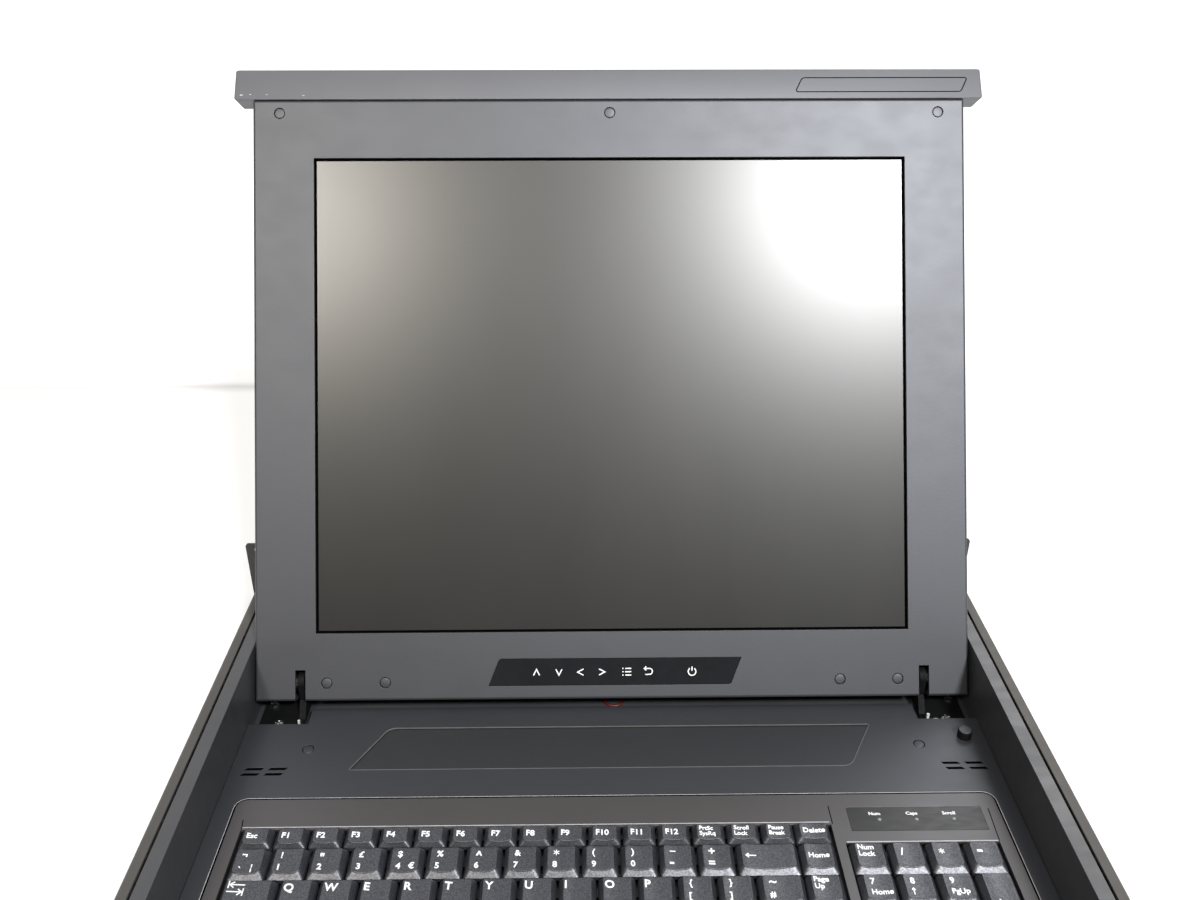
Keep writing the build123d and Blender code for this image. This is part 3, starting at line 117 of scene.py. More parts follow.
# Margins on a key's top face, and how far each kind of mark stands from them, across and up the key
LEFT_MARGIN = 2.5
ROW_MARGIN = 2.9
LETTER_SHIFT = (-1.7, -1.1)
LONE_SIGN_SHIFT = (0.2, -2.2)
UPPER_SIGN_SHIFT = (0.4, -0.8)
LOWER_WORD_RISE = 0.9
THIRD_SIGN_SHIFT = 6.0
WORD_SHIFT = -0.9
LINES_SHIFT = (-1.3, -1.3)
LINE_STEP = 0.72
SHORT_KEY_LINES = 0.3
SHORT_KEY_HALF = 5.0
TALL_KEY_HALF = 10.0


def lid_joint():
    """The record's hinge between drawer and lid."""
    return next(joint for joint in frame["joints"] if joint["name"] == "lid_hinge")


HINGE = np.array(lid_joint()["pos_m"])
LID_TILT = radians(180 - lid_joint()["range_deg"][1])
LID_TURN = np.array([
    [1, 0, 0],
    [0, np.cos(LID_TILT), -np.sin(LID_TILT)],
    [0, np.sin(LID_TILT), np.cos(LID_TILT)],
])
LID_SHIFT = np.array([0, -HINGE_UP, HINGE_IN]) * MM


def on_lid(points):
    """Lid frame to row frame, in metres: shift to the hinge, turn about X by the lid's tilt, and move to the
    hinge's place."""
    return (points + LID_SHIFT) @ LID_TURN.T + HINGE


def off_lid(points):
    """Row frame to lid frame, in metres: the inverse of on_lid."""
    return (points - HINGE) @ LID_TURN - LID_SHIFT


def lid_shape(points, faces):
    """A shape drawn on the lid, in millimetres, moved to the row frame."""
    return on_lid(points * MM) / MM, faces


# Mesh makers

def add_piece(name, points, faces, material, body, smooth=True, weld=True):
    """Makes one mesh piece from arrays of points and faces and lets it ride on a body."""
    mesh = bpy.data.meshes.new(name)
    mesh.from_pydata([tuple(point) for point in points], [], [tuple(face) for face in faces])
    if weld:
        shell = bmesh.new()
        shell.from_mesh(mesh)
        bmesh.ops.remove_doubles(shell, verts=shell.verts, dist=1e-7)
        shell.to_mesh(mesh)
        shell.free()
    mesh.validate()
    mesh.materials.append(material)
    piece = bpy.data.objects.new(name, mesh)
    bpy.context.scene.collection.objects.link(piece)
    if smooth:
        mesh.shade_smooth()
        mesh.set_sharp_from_angle(angle=radians(38))
    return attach(piece, body)


def grid_faces(rows, columns, wrap=False):
    """Quads of a grid of rows by columns whose columns close into a ring, and its rows too if asked."""
    row = np.arange(rows if wrap else rows - 1)[:, None]
    column = np.arange(columns)[None, :]
    after = (column + 1) % columns
    start = row * columns
    above = (row + 1) % rows * columns
    corners = [start + column, start + after, above + after, above + column]
    return np.stack(np.broadcast_arrays(*corners), axis=-1).reshape(-1, 4)


def capped_faces(rings, count):
    """Faces of a stack of rings of count points each, with a cap on the first and the last ring."""
    last = (rings - 1) * count
    faces = [tuple(face) for face in grid_faces(rings, count)]
    return faces + [tuple(range(count))[::-1], tuple(range(last, last + count))]


def join(parts):
    """Joins (points, faces) pairs into one pair, shifting the face numbers."""
    points = []
    faces = []
    count = 0
    for part_points, part_faces in parts:
        points.append(part_points)
        faces += [tuple(np.asarray(face) + count) for face in part_faces]
        count += len(part_points)
    return np.concatenate(points), faces


def lathe(profile, segments=32):
    """A profile of (radius, height) turned about Z, from axis to axis: x = r cos a, y = r sin a, z = h."""
    radius, height = np.array(profile, float).T
    angle = np.linspace(0, 2 * pi, segments, endpoint=False)
    x = radius[:, None] * np.cos(angle)
    y = radius[:, None] * np.sin(angle)
    z = np.repeat(height[:, None], segments, axis=1)
    return np.stack([x, y, z], axis=-1).reshape(-1, 3), grid_faces(len(radius), segments)


def round_rim(radius, top, edge, steps=5):
    """The quarter circle that rounds a disc's upper edge, as (radius, height) points for lathe."""
    turn = np.linspace(0, pi / 2, steps)
    return [(radius - edge + edge * np.cos(a), top - edge + edge * np.sin(a)) for a in turn]


def soft_disc(radius, low, high, edge, segments=32):
    """A disc with its upper edge rounded by a quarter circle."""
    return lathe([(0, low), (radius, low)] + round_rim(radius, high, edge) + [(0, high)], segments)


def aim(points, direction):
    """Turns points drawn along Z to a direction along X, Y or Z, keeping the shape's hand."""
    axis = int(np.argmax(np.abs(direction)))
    turned = np.roll(points, axis + 1, axis=1)
    if np.sum(direction) < 0:
        turned[:, axis] *= -1
        turned[:, (axis + 1) % 3] *= -1
    return turned


def set_at(shape, place, direction=(0, 0, 1)):
    """A shape drawn along Z from the origin, aimed along a direction and moved to a place."""
    points, faces = shape
    return aim(points, direction) + np.array(place), faces


def box_mesh(low, high):
    """A closed box between two corners."""
    low, high = np.array(low, float), np.array(high, float)
    unit = np.array([[0, 0, 0], [1, 0, 0], [1, 1, 0], [0, 1, 0], [0, 0, 1], [1, 0, 1], [1, 1, 1], [0, 1, 1]])
    faces = [(0, 3, 2, 1), (4, 5, 6, 7), (0, 1, 5, 4), (1, 2, 6, 5), (2, 3, 7, 6), (3, 0, 4, 7)]
    return low + unit * (high - low), faces


def unit(vectors):
    """Vectors brought to length one."""
    return vectors / np.linalg.norm(vectors, axis=1)[:, None]


def headings(path, closed=False):
    """Unit vectors along a path at each of its points, from the points before and after it."""
    if closed:
        return unit(np.roll(path, -1, axis=0) - np.roll(path, 1, axis=0))
    return unit(np.gradient(path, axis=0))


def ribbon(path, width, low, high, closed=False):
    """A flat stroke of constant width along a path in XY: each point is offset both ways along its normal,
    further where the path bends."""
    path = np.array(path, float)
    step = headings(path, closed)
    normal = np.stack([-step[:, 1], step[:, 0]], axis=1)
    if not closed:
        before = unit(np.diff(path, axis=0))
        mitre = np.ones(len(path))
        bend = np.sum(before[:-1] * before[1:], axis=1)
        mitre[1:-1] = 1 / np.sqrt(np.clip((1 + bend) / 2, 0.2, 1))
        normal *= mitre[:, None]
    half = width / 2
    right, left = path - normal * half, path + normal * half
    corners = [(right, low), (left, low), (left, high), (right, high)]
    rows = [np.column_stack([side, np.full(len(path), level)]) for side, level in corners]
    points = np.stack(rows, axis=1).reshape(-1, 3)
    faces = grid_faces(len(path), 4, True) if closed else capped_faces(len(path), 4)
    return points, [tuple(face[::-1]) for face in faces]


def rounded(corners, radii, steps=6):
    """A closed outline with rounded corners: an arc joins the points where its circle touches both sides."""
    corners = np.array(corners, float)
    path = []
    corner_rows = zip(np.roll(corners, 1, axis=0), corners, np.roll(corners, -1, axis=0), radii)
    for before, corner, after, radius in corner_rows:
        if radius == 0:
            path.append(corner[None])
            continue
        back = (before - corner) / np.linalg.norm(before - corner)
        ahead = (after - corner) / np.linalg.norm(after - corner)
        half = np.arccos(np.clip(back @ ahead, -1, 1)) / 2
        centre = corner + (back + ahead) / np.linalg.norm(back + ahead) * radius / np.sin(half)
        start = corner + back * radius / np.tan(half) - centre
        end = corner + ahead * radius / np.tan(half) - centre
        turn = np.linspace(0, 1, steps)[:, None]
        angle = pi - 2 * half
        swing = start * np.sin((1 - turn) * angle) + end * np.sin(turn * angle)
        path.append(centre + swing / np.sin(angle))
    return np.concatenate(path)


def plate(path, low, high):
    """A flat plate whose outline runs anticlockwise: a wall between two levels with a cap on each."""
    count = len(path)
    points = np.concatenate([np.column_stack([path, np.full(count, level)]) for level in (low, high)])
    return points, capped_faces(2, count)


def bead(path, radius, level, sides=8):
    """A round bead along a closed path in XY at one height: a circle swept square to the path."""
    step = headings(path, True)
    angle = np.linspace(0, 2 * pi, sides, endpoint=False)
    across = np.stack([step[:, 1], -step[:, 0]], axis=1)
    flat = path[:, None, :] + across[:, None, :] * (radius * np.cos(angle))[None, :, None]
    rise = np.broadcast_to(level + radius * np.sin(angle), flat.shape[:2])
    points = np.concatenate([flat, rise[:, :, None]], axis=2).reshape(-1, 3)
    return points, [tuple(face[::-1]) for face in grid_faces(len(path), sides, True)]


def tube(path, radius, sides=12):
    """A round tube along a path: a circle in the plane of two vectors square to the path at each point."""
    path = np.array(path, float)
    step = headings(path)
    side = unit(np.cross(step, np.array([0, 0, 1.0])))
    rise = np.cross(side, step)
    angle = np.linspace(0, 2 * pi, sides, endpoint=False)
    ring = side[:, None, :] * np.cos(angle)[None, :, None] + rise[:, None, :] * np.sin(angle)[None, :, None]
    points = (path[:, None, :] + radius * ring).reshape(-1, 3)
    return points, capped_faces(len(path), sides)


def box_of(node):
    """Low and high corners, in millimetres, of a CAD node."""
    low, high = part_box(node)
    return np.array(low) / MM, np.array(high) / MM


def islands(node, unturn=None):
    """Low and high corners, in millimetres, of each separate solid of a CAD node, in its mesh's order."""
    shell = bmesh.new()
    shell.from_mesh(frame["nodes"][node].data)
    bmesh.ops.remove_doubles(shell, verts=shell.verts, dist=1e-6)
    left = set(shell.verts)
    found = []
    for start in shell.verts:
        if start not in left:
            continue
        left.remove(start)
        heap = [start]
        group = []
        while heap:
            vert = heap.pop()
            group.append(tuple(vert.co))
            for edge in vert.link_edges:
                other = edge.other_vert(vert)
                if other in left:
                    left.remove(other)
                    heap.append(other)
        corners = np.array(group)
        if unturn is not None:
            corners = unturn(corners)
        found.append((corners.min(axis=0) / MM, corners.max(axis=0) / MM))
    shell.free()
    return found


# Materials

def linear(code):
    """An sRGB hex colour as linear red, green, blue and alpha."""
    levels = np.array([int(code[i:i + 2], 16) for i in (1, 3, 5)]) / 255
    low = levels / 12.92
    high = ((levels + 0.055) / 1.055) ** 2.4
    return (*np.where(levels <= 0.04045, low, high).tolist(), 1.0)


def add(tree, kind, sockets=None, stops=(), **settings):
    """Adds a shader node with its settings. Sockets map an input to a value or to another node's output, and
    stops are a colour ramp's (position, hex colour) pairs."""
    made = tree.nodes.new(kind)
    for name, value in settings.items():
        setattr(made, name, value)
    for socket, value in (sockets or {}).items():
        if isinstance(value, bpy.types.NodeSocket):
            tree.links.new(value, made.inputs[socket])
        else:
            made.inputs[socket].default_value = value
    if stops:
        band = made.color_ramp
        while len(band.elements) < len(stops):
            band.elements.new(0.5)
        for element, (place, code) in zip(band.elements, stops):
            element.position = place
            element.color = linear(code)
    return made


def new_material(name):
    """An empty material and its node tree."""
    material = bpy.data.materials.new(name)
    material.use_nodes = True
    material.node_tree.nodes.clear()
    return material, material.node_tree


def noise(tree, size_mm, detail=2.0, stretch=(1, 1, 1), roughness=0.5):
    """Noise on Object coordinates whose features are about size_mm across."""
    coords = add(tree, "ShaderNodeTexCoord").outputs["Object"]
    scaled = add(tree, "ShaderNodeMapping", {"Vector": coords, "Scale": stretch}).outputs["Vector"]
    sockets = {"Vector": scaled, "Scale": 1 / (size_mm * MM), "Detail": detail, "Roughness": roughness}
    return add(tree, "ShaderNodeTexNoise", sockets).outputs["Fac"]


# The middle range that noise covers, where most of its values lie
NOISE_LOW = 0.35
NOISE_HIGH = 0.65
# The height over which light fades in slots and pockets
SHADE_FALL = 0.8
MATERIALS = {}


def surface(key, name, code, dark_code, roughness, grain_mm, grain_height, patch_mm=60.0, metallic=0.0,
            smear=0.06, stretch=(1, 1, 1), ior=1.5, coat=0.0, edge_mm=0.0, shade_below=None, tint="#ffffff",
            glint=None):
    """A moulded, painted or plated surface: fine grain as bump, slow patches in colour, smears in roughness.
    Its edges may be shaded as if rounded, its colour may fall off below a height, where slots and pockets
    hold no light, and its sheen may be broken into grains as dull as the glint colour."""
    material, tree = new_material(name)
    MATERIALS[key] = material
    patches = noise(tree, patch_mm, 3.0)
    stops = [(NOISE_LOW, dark_code), (NOISE_HIGH, code)]
    colour = add(tree, "ShaderNodeValToRGB", {"Fac": patches}, stops).outputs["Color"]
    if shade_below is not None:
        coords = add(tree, "ShaderNodeTexCoord").outputs["Object"]
        height = add(tree, "ShaderNodeSeparateXYZ", {"Vector": coords}).outputs["Z"]
        dark, lit = (shade_below - SHADE_FALL) * MM, shade_below * MM
        sockets = {"Value": height, "From Min": dark, "From Max": lit, "To Min": 0.1}
        fade = add(tree, "ShaderNodeMapRange", sockets).outputs["Result"]
        colour = add(tree, "ShaderNodeVectorMath", {0: colour, "Scale": fade}, operation="SCALE").outputs[0]
    grain = noise(tree, grain_mm, 3.0, stretch)
    smears = noise(tree, patch_mm / 3, 4.0, (1.0, 2.5, 1.0))
    sockets = {
        "Value": smears, "From Min": NOISE_LOW, "From Max": NOISE_HIGH,
        "To Min": roughness - smear, "To Max": roughness + smear,
    }
    rough = add(tree, "ShaderNodeMapRange", sockets).outputs["Result"]
    sockets = {"Height": grain, "Strength": 1.0, "Distance": grain_height * MM}
    if edge_mm > 0:
        bevel = add(tree, "ShaderNodeBevel", {"Radius": edge_mm * MM}, samples=4)
        sockets["Normal"] = bevel.outputs["Normal"]
    bump = add(tree, "ShaderNodeBump", sockets).outputs["Normal"]
    sockets = {
        "Base Color": colour, "Roughness": rough, "Metallic": metallic, "Normal": bump,
        "Coat Weight": coat, "Coat Roughness": 0.12, "Specular Tint": linear(tint),
    }
    if glint:
        grains = add(tree, "ShaderNodeValToRGB", {"Fac": grain}, [(0.44, glint), (0.56, tint)])
        sockets["Specular Tint"] = grains.outputs["Color"]
    if metallic < 0.5:
        sockets["IOR"] = ior
    shader = add(tree, "ShaderNodeBsdfPrincipled", sockets)
    add(tree, "ShaderNodeOutputMaterial", {"Surface": shader.outputs["BSDF"]})


def make_materials():
    """Every finish on the console, named for the real material, and also for the light or shade painted into
    it where there is some.
    """
    # Spark-eroded ABS: charcoal with a fine even grain that spreads the light into a soft grey sheen. The
    # real grain, near 0.15 mm, is drawn at 0.9 mm, as coarse as it needs to show. So are the grains below.
    plastic = {"smear": 0.012, "ior": 1.92, "edge_mm": 0.35, "tint": "#eef1fa"}
    deck = {"shade_below": 11.2, **plastic}
    frame_plastic = {"shade_below": 11.4, **plastic}
    surface("bezel", "spark_eroded_abs_bezel", "#242528", "#222326", 0.492, 0.9, 0.035, **plastic)
    surface("deck", "spark_eroded_abs_deck", "#222327", "#202125", 0.49, 0.9, 0.035, **deck)
    surface("recess", "smooth_abs_recess", "#161719", "#141517", 0.50, 0.9, 0.02, **plastic)
    # Painted highlights: beads along moulded edges, coloured paler than the deck for the thin line of lamp
    # light they catch, and paler still along the keyboard opening and the wells. The palest colour also
    # serves for the beam's worn flecks.
    surface("rim", "abs_edge_painted_highlight", "#515253", "#48494a", 0.42, 0.9, 0.02, 12.0, ior=1.9)
    surface("edge", "worn_flecks_and_painted_highlight", "#b5b6ba", "#a3a4a8", 0.40, 0.9, 0.02, 12.0, ior=1.9)
    # The handle beam's slightly duller plastic, coloured paler than the bezel as a painted highlight for the
    # light its front face catches
    surface("beam", "abs_beam_painted_highlight", "#5c5d61", "#58595d", 0.54, 0.9, 0.03, **plastic)
    # The lid switch's post: near black as painted shade on its side, with hardly a sheen
    surface("post", "post_side_painted_shade", "#0a0a0b", "#080809", 0.60, 0.9, 0.01, ior=1.3)
    # Keyboard frame: ABS again, smoother and browner than the deck
    surface("frame", "moulded_abs_frame", "#3c3937", "#393634", 0.45, 0.8, 0.02, **frame_plastic)
    # Keycaps: ABS with a satin top that hands have begun to polish, so that its grain glints
    surface("keys", "satin_abs_keycaps", "#292a2f", "#26272c", 0.42, 0.8, 0.05, 25.0, smear=0.02, ior=2.08,
            tint="#f6f7ff", glint="#c2c4cb")
    # Pad-printed white ink, slightly raised and matt
    surface("ink", "pad_printed_ink", "#f4f6f8", "#ecf0f3", 0.55, 0.5, 0.004)
    # Powder-coated steel: a dull dark grey, warmer on the case than on the ears and covers
    surface("case", "powder_coated_case", "#4b4946", "#474543", 0.52, 0.7, 0.03, smear=0.03)
    coated = {"smear": 0.03, "edge_mm": 0.3}
    surface("ears", "powder_coated_ears", "#39393a", "#363637", 0.50, 0.7, 0.04, **coated)
    # Satin paint on the tray, smoother than the powder coat
    satin = {"smear": 0.04, "edge_mm": 0.3, "ior": 1.72}
    surface("tray", "satin_painted_tray", "#393a3d", "#343538", 0.42, 0.7, 0.015, **satin)
    surface("back", "powder_coated_cover", "#38393b", "#363739", 0.50, 0.7, 0.04, **coated)
    # Zinc plate: bright, faintly mottled steel. Pale plates for the zinc hardware in the hinge pockets are
    # coloured as painted glints
    surface("zinc", "zinc_plated_steel", "#c3c5c4", "#a9abab", 0.30, 1.5, 0.01, 8.0, 1.0, 0.10)
    surface("bright", "zinc_painted_glint", "#dcdedd", "#b4b6b6", 0.35, 1.0, 0.01, 2.0)
    # Drawn steel of the slides, brushed along their length
    surface("slide", "drawn_slide_steel", "#b6b8b8", "#9fa1a2", 0.32, 0.6, 0.008, 30.0, 1.0, 0.08,
            (1, 0.03, 1))
    # Blackened steel hinge arms, oiled: black with a dull shine
    surface("arm", "blackened_steel", "#08090a", "#060708", 0.7, 0.8, 0.006, 10.0, ior=1.3)
    # Ground and polished steel balls, mirror bright
    surface("bearing", "polished_ball_steel", "#d4d6d8", "#c6c8ca", 0.10, 1.0, 0.0, 5.0, 1.0, 0.03)
    # Glossy film over the touch strip, which mirrors the deck, and the lamp window's duller printed film
    surface("glossy", "glossy_touch_strip", "#1e1f23", "#1a1b1f", 0.16, 1.0, 0.0, 20.0, coat=0.5, smear=0.03)
    surface("label", "printed_lamp_label", "#191a1b", "#17181a", 0.42, 0.8, 0.005, 20.0, smear=0.03, ior=1.58)
    # Unlit lamp lenses of clear resin with a green tint: small pale grey beads
    surface("lamps", "unlit_lamp_lens", "#83867e", "#757870", 0.25, 1.0, 0.0, 5.0)
    # Black: the screen glass's own border, dark lines on the keyboard frame, and painted shade in seams,
    # slots and the label's groove, which hold no light
    surface("gap", "black_border_and_painted_shade", "#030303", "#020202", 0.9, 1.0, 0.0, ior=1.1)
    # Silicone, solder mask over glass fibre, vinyl insulation, nylon, and the touchpad's half-matt film
    surface("rubber", "silicone_sheet", "#8b8d8e", "#828485", 0.60, 0.8, 0.01)
    surface("board", "green_solder_mask", "#164a2c", "#103d24", 0.30, 0.8, 0.01, 12.0)
    surface("wire", "red_wire_insulation", "#5c1210", "#4e0f0d", 0.4, 0.8, 0.005, 10.0)
    surface("socket", "black_nylon_socket", "#151516", "#101011", 0.45, 0.7, 0.01)
    surface("pad", "touchpad_film", "#26272a", "#222326", 0.32, 0.6, 0.010, 20.0)
    make_polariser()


def make_polariser():
    """Anti-glare polariser on an unlit panel: almost black, a rough gloss that spreads lamps wide, and faint
    patches left by wiping."""
    material, tree = new_material("anti_glare_polariser")
    MATERIALS["screen"] = material
    wipes = noise(tree, 90.0, 5.0, (1.0, 0.35, 0.35), 0.62)
    stops = [(NOISE_LOW, "#0e0e0d"), (0.68, "#11110f")]
    colour = add(tree, "ShaderNodeValToRGB", {"Fac": wipes}, stops).outputs["Color"]
    sockets = {
        "Value": wipes, "From Min": NOISE_LOW, "From Max": NOISE_HIGH, "To Min": 0.321, "To Max": 0.333,
    }
    rough = add(tree, "ShaderNodeMapRange", sockets).outputs["Result"]
    # The film's haze is far finer than 1.2 mm, which is the finest that shows
    dust = noise(tree, 1.2, 1.0)
    sockets = {"Height": dust, "Strength": 1.0, "Distance": 0.004 * MM}
    bump = add(tree, "ShaderNodeBump", sockets).outputs["Normal"]
    sockets = {"Base Color": colour, "Roughness": rough, "Normal": bump, "IOR": 1.76}
    shader = add(tree, "ShaderNodeBsdfPrincipled", sockets)
    add(tree, "ShaderNodeOutputMaterial", {"Surface": shader.outputs["BSDF"]})


make_materials()
# The CAD nodes that carry each finish
NODE_FINISH = {
    "case": ("case_pan", "case_screws"),
    "ears": ("front_ear_left", "front_ear_right", "rear_bracket_left", "rear_bracket_right"),
    "tray": ("drawer_tray",),
    "deck": ("deck_cover", "deck_caps", "touchpad_button_left", "touchpad_button_right"),
    "post": ("lid_switch_plunger",),
    "bezel": ("lid_bezel", "lid_caps"),
    "beam": ("lid_beam",),
    "frame": ("keyboard_frame",),
    "keys": (
        "function_keys", "number_keys", "upper_letter_keys", "home_letter_keys", "lower_letter_keys",
        "modifier_keys", "space_bar", "navigation_keys", "numpad_keys",
    ),
    "back": ("lid_back", "rear_cover", "rear_panel"),
    "slide": (
        "slide_outer_left", "slide_outer_right", "slide_middle_left", "slide_middle_right",
        "slide_inner_left", "slide_inner_right", "outer_ball_cages", "inner_ball_cages",
    ),
    "zinc": (
        "lid_rails", "hinge_shafts", "hinge_friction_stacks", "drawer_screws", "power_supply", "screen_panel",
        "keyboard_back_plate", "video_port", "usb_port",
    ),
    "arm": ("hinge_bracket_left", "hinge_bracket_right"),
    "glossy": ("menu_strip",),
    "label": ("lamp_window",),
    "lamps": ("status_lamps",),
    "gap": ("screen_glass",),
    "rubber": ("key_contact_sheet",),
    "board": ("main_board", "lid_boards", "touchpad_board"),
    "wire": ("wire_loom",),
    "socket": ("power_inlet", "lid_switch"),
    "pad": ("touchpad_surface",),
}


def dress_nodes():
    """Gives each CAD node its material."""
    for finish, nodes in NODE_FINISH.items():
        for node in nodes:
            mesh = frame["nodes"][node].data
            mesh.materials.clear()
            mesh.materials.append(MATERIALS[finish])


def body_of(node):
    """The body that a CAD node rides on."""
    return frame["nodes"][node]["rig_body"]


def stand_in(name, shape, finish, node, smooth=True):
    """A finer piece that takes the place of a CAD node."""
    points, faces = shape
    piece = add_piece(name, points * MM, faces, MATERIALS[finish], body_of(node), smooth)
    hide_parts(node)


def extra(name, shape, finish, node, lid=False, smooth=True, weld=True):
    """A piece that lies on a CAD node and rides with it."""
    points, faces = lid_shape(*shape) if lid else shape
    piece = add_piece(name, points * MM, faces, MATERIALS[finish], body_of(node), smooth, weld)


# Keycaps

def ring_outline(along, across, corner):
    """A rounded rectangle's recipe, (centre factors, corner normals): evenly spaced points on its edges and
    between them points on arcs."""
    centres = []
    normals = []
    corners = np.array([(-1, -1), (1, -1), (1, 1), (-1, 1)], float)
    for index, count in enumerate((along, across, along, across)):
        start, end = corners[index], corners[(index + 1) % 4]
        step = np.linspace(0, 1, count + 1)[:, None]
        facing = -pi / 2 + index * pi / 2
        centres.append(start + (end - start) * step)
        normals.append(np.tile([np.cos(facing), np.sin(facing)], (count + 1, 1)))
        turn = facing + np.linspace(0, pi / 2, corner + 2)[1:-1]
        centres.append(np.tile(end, (corner, 1)))
        normals.append(np.stack([np.cos(turn), np.sin(turn)], axis=1))
    return np.concatenate(centres), np.concatenate(normals)


KEY_CENTRES, KEY_NORMALS = ring_outline(8, 3, 4)


def front_draft(low, high):
    """The short keys of the function row have a steeper front."""
    return KEY_FRONT_DRAFT if high[1] - low[1] > FUNCTION_DEPTH else FUNCTION_FRONT_DRAFT


def key_top(low, high):
    """Middle and half sizes of a key's top face, from its skirt's corners."""
    front = front_draft(low, high)
    middle = np.array([low[0] + high[0], low[1] + high[1] + front - KEY_REAR_DRAFT]) / 2
    half = np.array([high[0] - low[0] - 2 * KEY_SIDE_DRAFT, high[1] - low[1] - front - KEY_REAR_DRAFT]) / 2
    return middle, half


def dish_depth(flat, half):
    """A parabola across the key, deepest in its middle."""
    return KEY_DISH * np.clip(1 - (flat[:, 0] / half[0]) ** 2, 0, 1)


def top_drop(flat, half):
    """How far a key's face lies below its rear rim: the dish and an even fall to its front. The tall keys
    fall no more than the others."""
    return dish_depth(flat, half) + KEY_TILT * np.clip((half[1] - flat[:, 1]) / (2 * half[1]), 0, 1)


def keycap(low, high):
    """A keycap as rings of one rounded rectangle: the walls stand nearly straight up to a knee and then
    lean in, most at the front, a quarter-round edge follows, and the top shrinks to its middle. Heights then
    drop by the dish and the tilt, which fade out down the walls, and the front edge runs forward along its
    slope where the dish cuts it."""
    middle, half = key_top(low, high)
    front = front_draft(low, high)
    knee = KEY_KNEE / KEY_HEIGHT
    rim = KEY_EDGE / KEY_HEIGHT
    rise = 1 - rim
    front_wall = (KEY_HEIGHT - KEY_KNEE) * rise - KEY_TILT
    # Each ring's share of the key's height, its inset and its scale: the walls, the rounded edge, the top
    levels = [(height * rise, 0.0, 1.0) for height in (0.0, knee, knee + 0.05, 0.95, 1.0)]
    for turn in np.linspace(0, pi / 2, 5)[1:]:
        levels.append((1 - rim * (1 - np.sin(turn)), KEY_EDGE * (1 - np.cos(turn)), 1.0))
    levels += [(1.0, KEY_EDGE, shrink) for shrink in np.linspace(1, 0, 6)[1:]]
    base = high[2] - KEY_HEIGHT
    count = len(KEY_CENTRES)
    rings = [np.column_stack([np.tile((low[:2] + high[:2]) / 2, (count, 1)), np.full(count, base)])]
    for height, inset, scale in levels:
        lean = min(height / rise, 1.0)
        slope = max(lean - knee, 0) / (1 - knee)
        side = KEY_SIDE_DRAFT * (0.25 * lean + 0.75 * slope)
        corner_low = np.array([low[0] + side, low[1] + front * slope])
        corner_high = np.array([high[0] - side, high[1] - KEY_REAR_DRAFT * slope])
        centre = (corner_low + corner_high) / 2
        radius = SKIRT_CORNER + (TOP_CORNER - SKIRT_CORNER) * lean - inset
        size = (corner_high - corner_low) / 2 - inset
        flat = (KEY_CENTRES * (size - radius) + KEY_NORMALS * radius) * scale
        place = flat + centre - middle
        facing_front = np.clip(-KEY_NORMALS[:, 1], 0, 1) ** 2 * scale
        flat[:, 1] -= dish_depth(place, half) * slope * facing_front * front / front_wall
        level = base + KEY_HEIGHT * height - top_drop(place, half) * slope
        rings.append(np.column_stack([centre + flat, level]))
    return np.concatenate(rings), grid_faces(len(rings), count)


def key_stem(low, high):
    """The square stem under a keycap."""
    x, y = (low[:2] + high[:2]) / 2
    half = KEY_STEM / 2
    return box_mesh((x - half, y - half, low[2]), (x + half, y + half, high[2] - KEY_HEIGHT))


def in_rows(boxes):
    """Boxes sorted into rows from the back, each from left to right."""
    return sorted(boxes, key=lambda corners: (-round(corners[1][1]), corners[0][0]))


# Legends

def flat_text(text, bold=0.0):
    """A text in the built-in font at size 1, as points in XY and polygons."""
    curve = bpy.data.curves.new("text", "FONT")
    curve.body = text
    curve.size = 1.0
    curve.resolution_u = 3
    curve.offset = bold
    holder = bpy.data.objects.new("text", curve)
    mesh = bpy.data.meshes.new_from_object(holder)
    flat = np.array([vertex.co for vertex in mesh.vertices])[:, :2]
    polygons = [tuple(polygon.vertices) for polygon in mesh.polygons]
    bpy.data.meshes.remove(mesh)
    bpy.data.objects.remove(holder)
    bpy.data.curves.remove(curve)
    return flat, polygons


CAPITAL = np.ptp(flat_text("H")[0][:, 1])
TEXTS = {}


def text_shape(text, height):
    """A text as a thin closed solid in millimetres, its left end at the origin, its capitals of a height."""
    if (text, height) not in TEXTS:
        flat, polygons = flat_text(text, LEGEND_BOLD)
        flat = flat * height / CAPITAL * np.array([WORD_STRETCH if len(text) > 1 else 1.0, 1])
        flat[:, 0] -= flat[:, 0].min()
        TEXTS[(text, height)] = thicken(flat, polygons)
    return TEXTS[(text, height)]


def thicken(flat, polygons):
    """A flat figure made a closed slab: its face, a copy below with faces turned over, and walls on its open
    edges."""
    shell = bmesh.new()
    verts = [shell.verts.new((x, y, 0)) for x, y in flat]
    for polygon in polygons:
        shell.faces.new([verts[i] for i in polygon])
    bmesh.ops.remove_doubles(shell, verts=shell.verts, dist=1e-5)
    for face in shell.faces:
        face.normal_update()
        if face.normal.z < 0:
            face.normal_flip()
    shell.verts.ensure_lookup_table()
    shell.verts.index_update()
    top = np.array([vertex.co for vertex in shell.verts])[:, :2]
    count = len(top)
    faces = [tuple(vertex.index for vertex in face.verts) for face in shell.faces]
    below = [tuple(index + count for index in reversed(face)) for face in faces]
    walls = []
    for edge in shell.edges:
        if len(edge.link_faces) == 1:
            loop = next(loop for loop in edge.link_faces[0].loops if loop.edge == edge)
            a, b = loop.vert.index, loop.link_loop_next.vert.index
            walls.append((b, a, a + count, b + count))
    shell.free()
    levels = (LEGEND_RISE, -LEGEND_SINK)
    points = np.concatenate([np.column_stack([top, np.full(count, level)]) for level in levels])
    return points, faces + below + walls


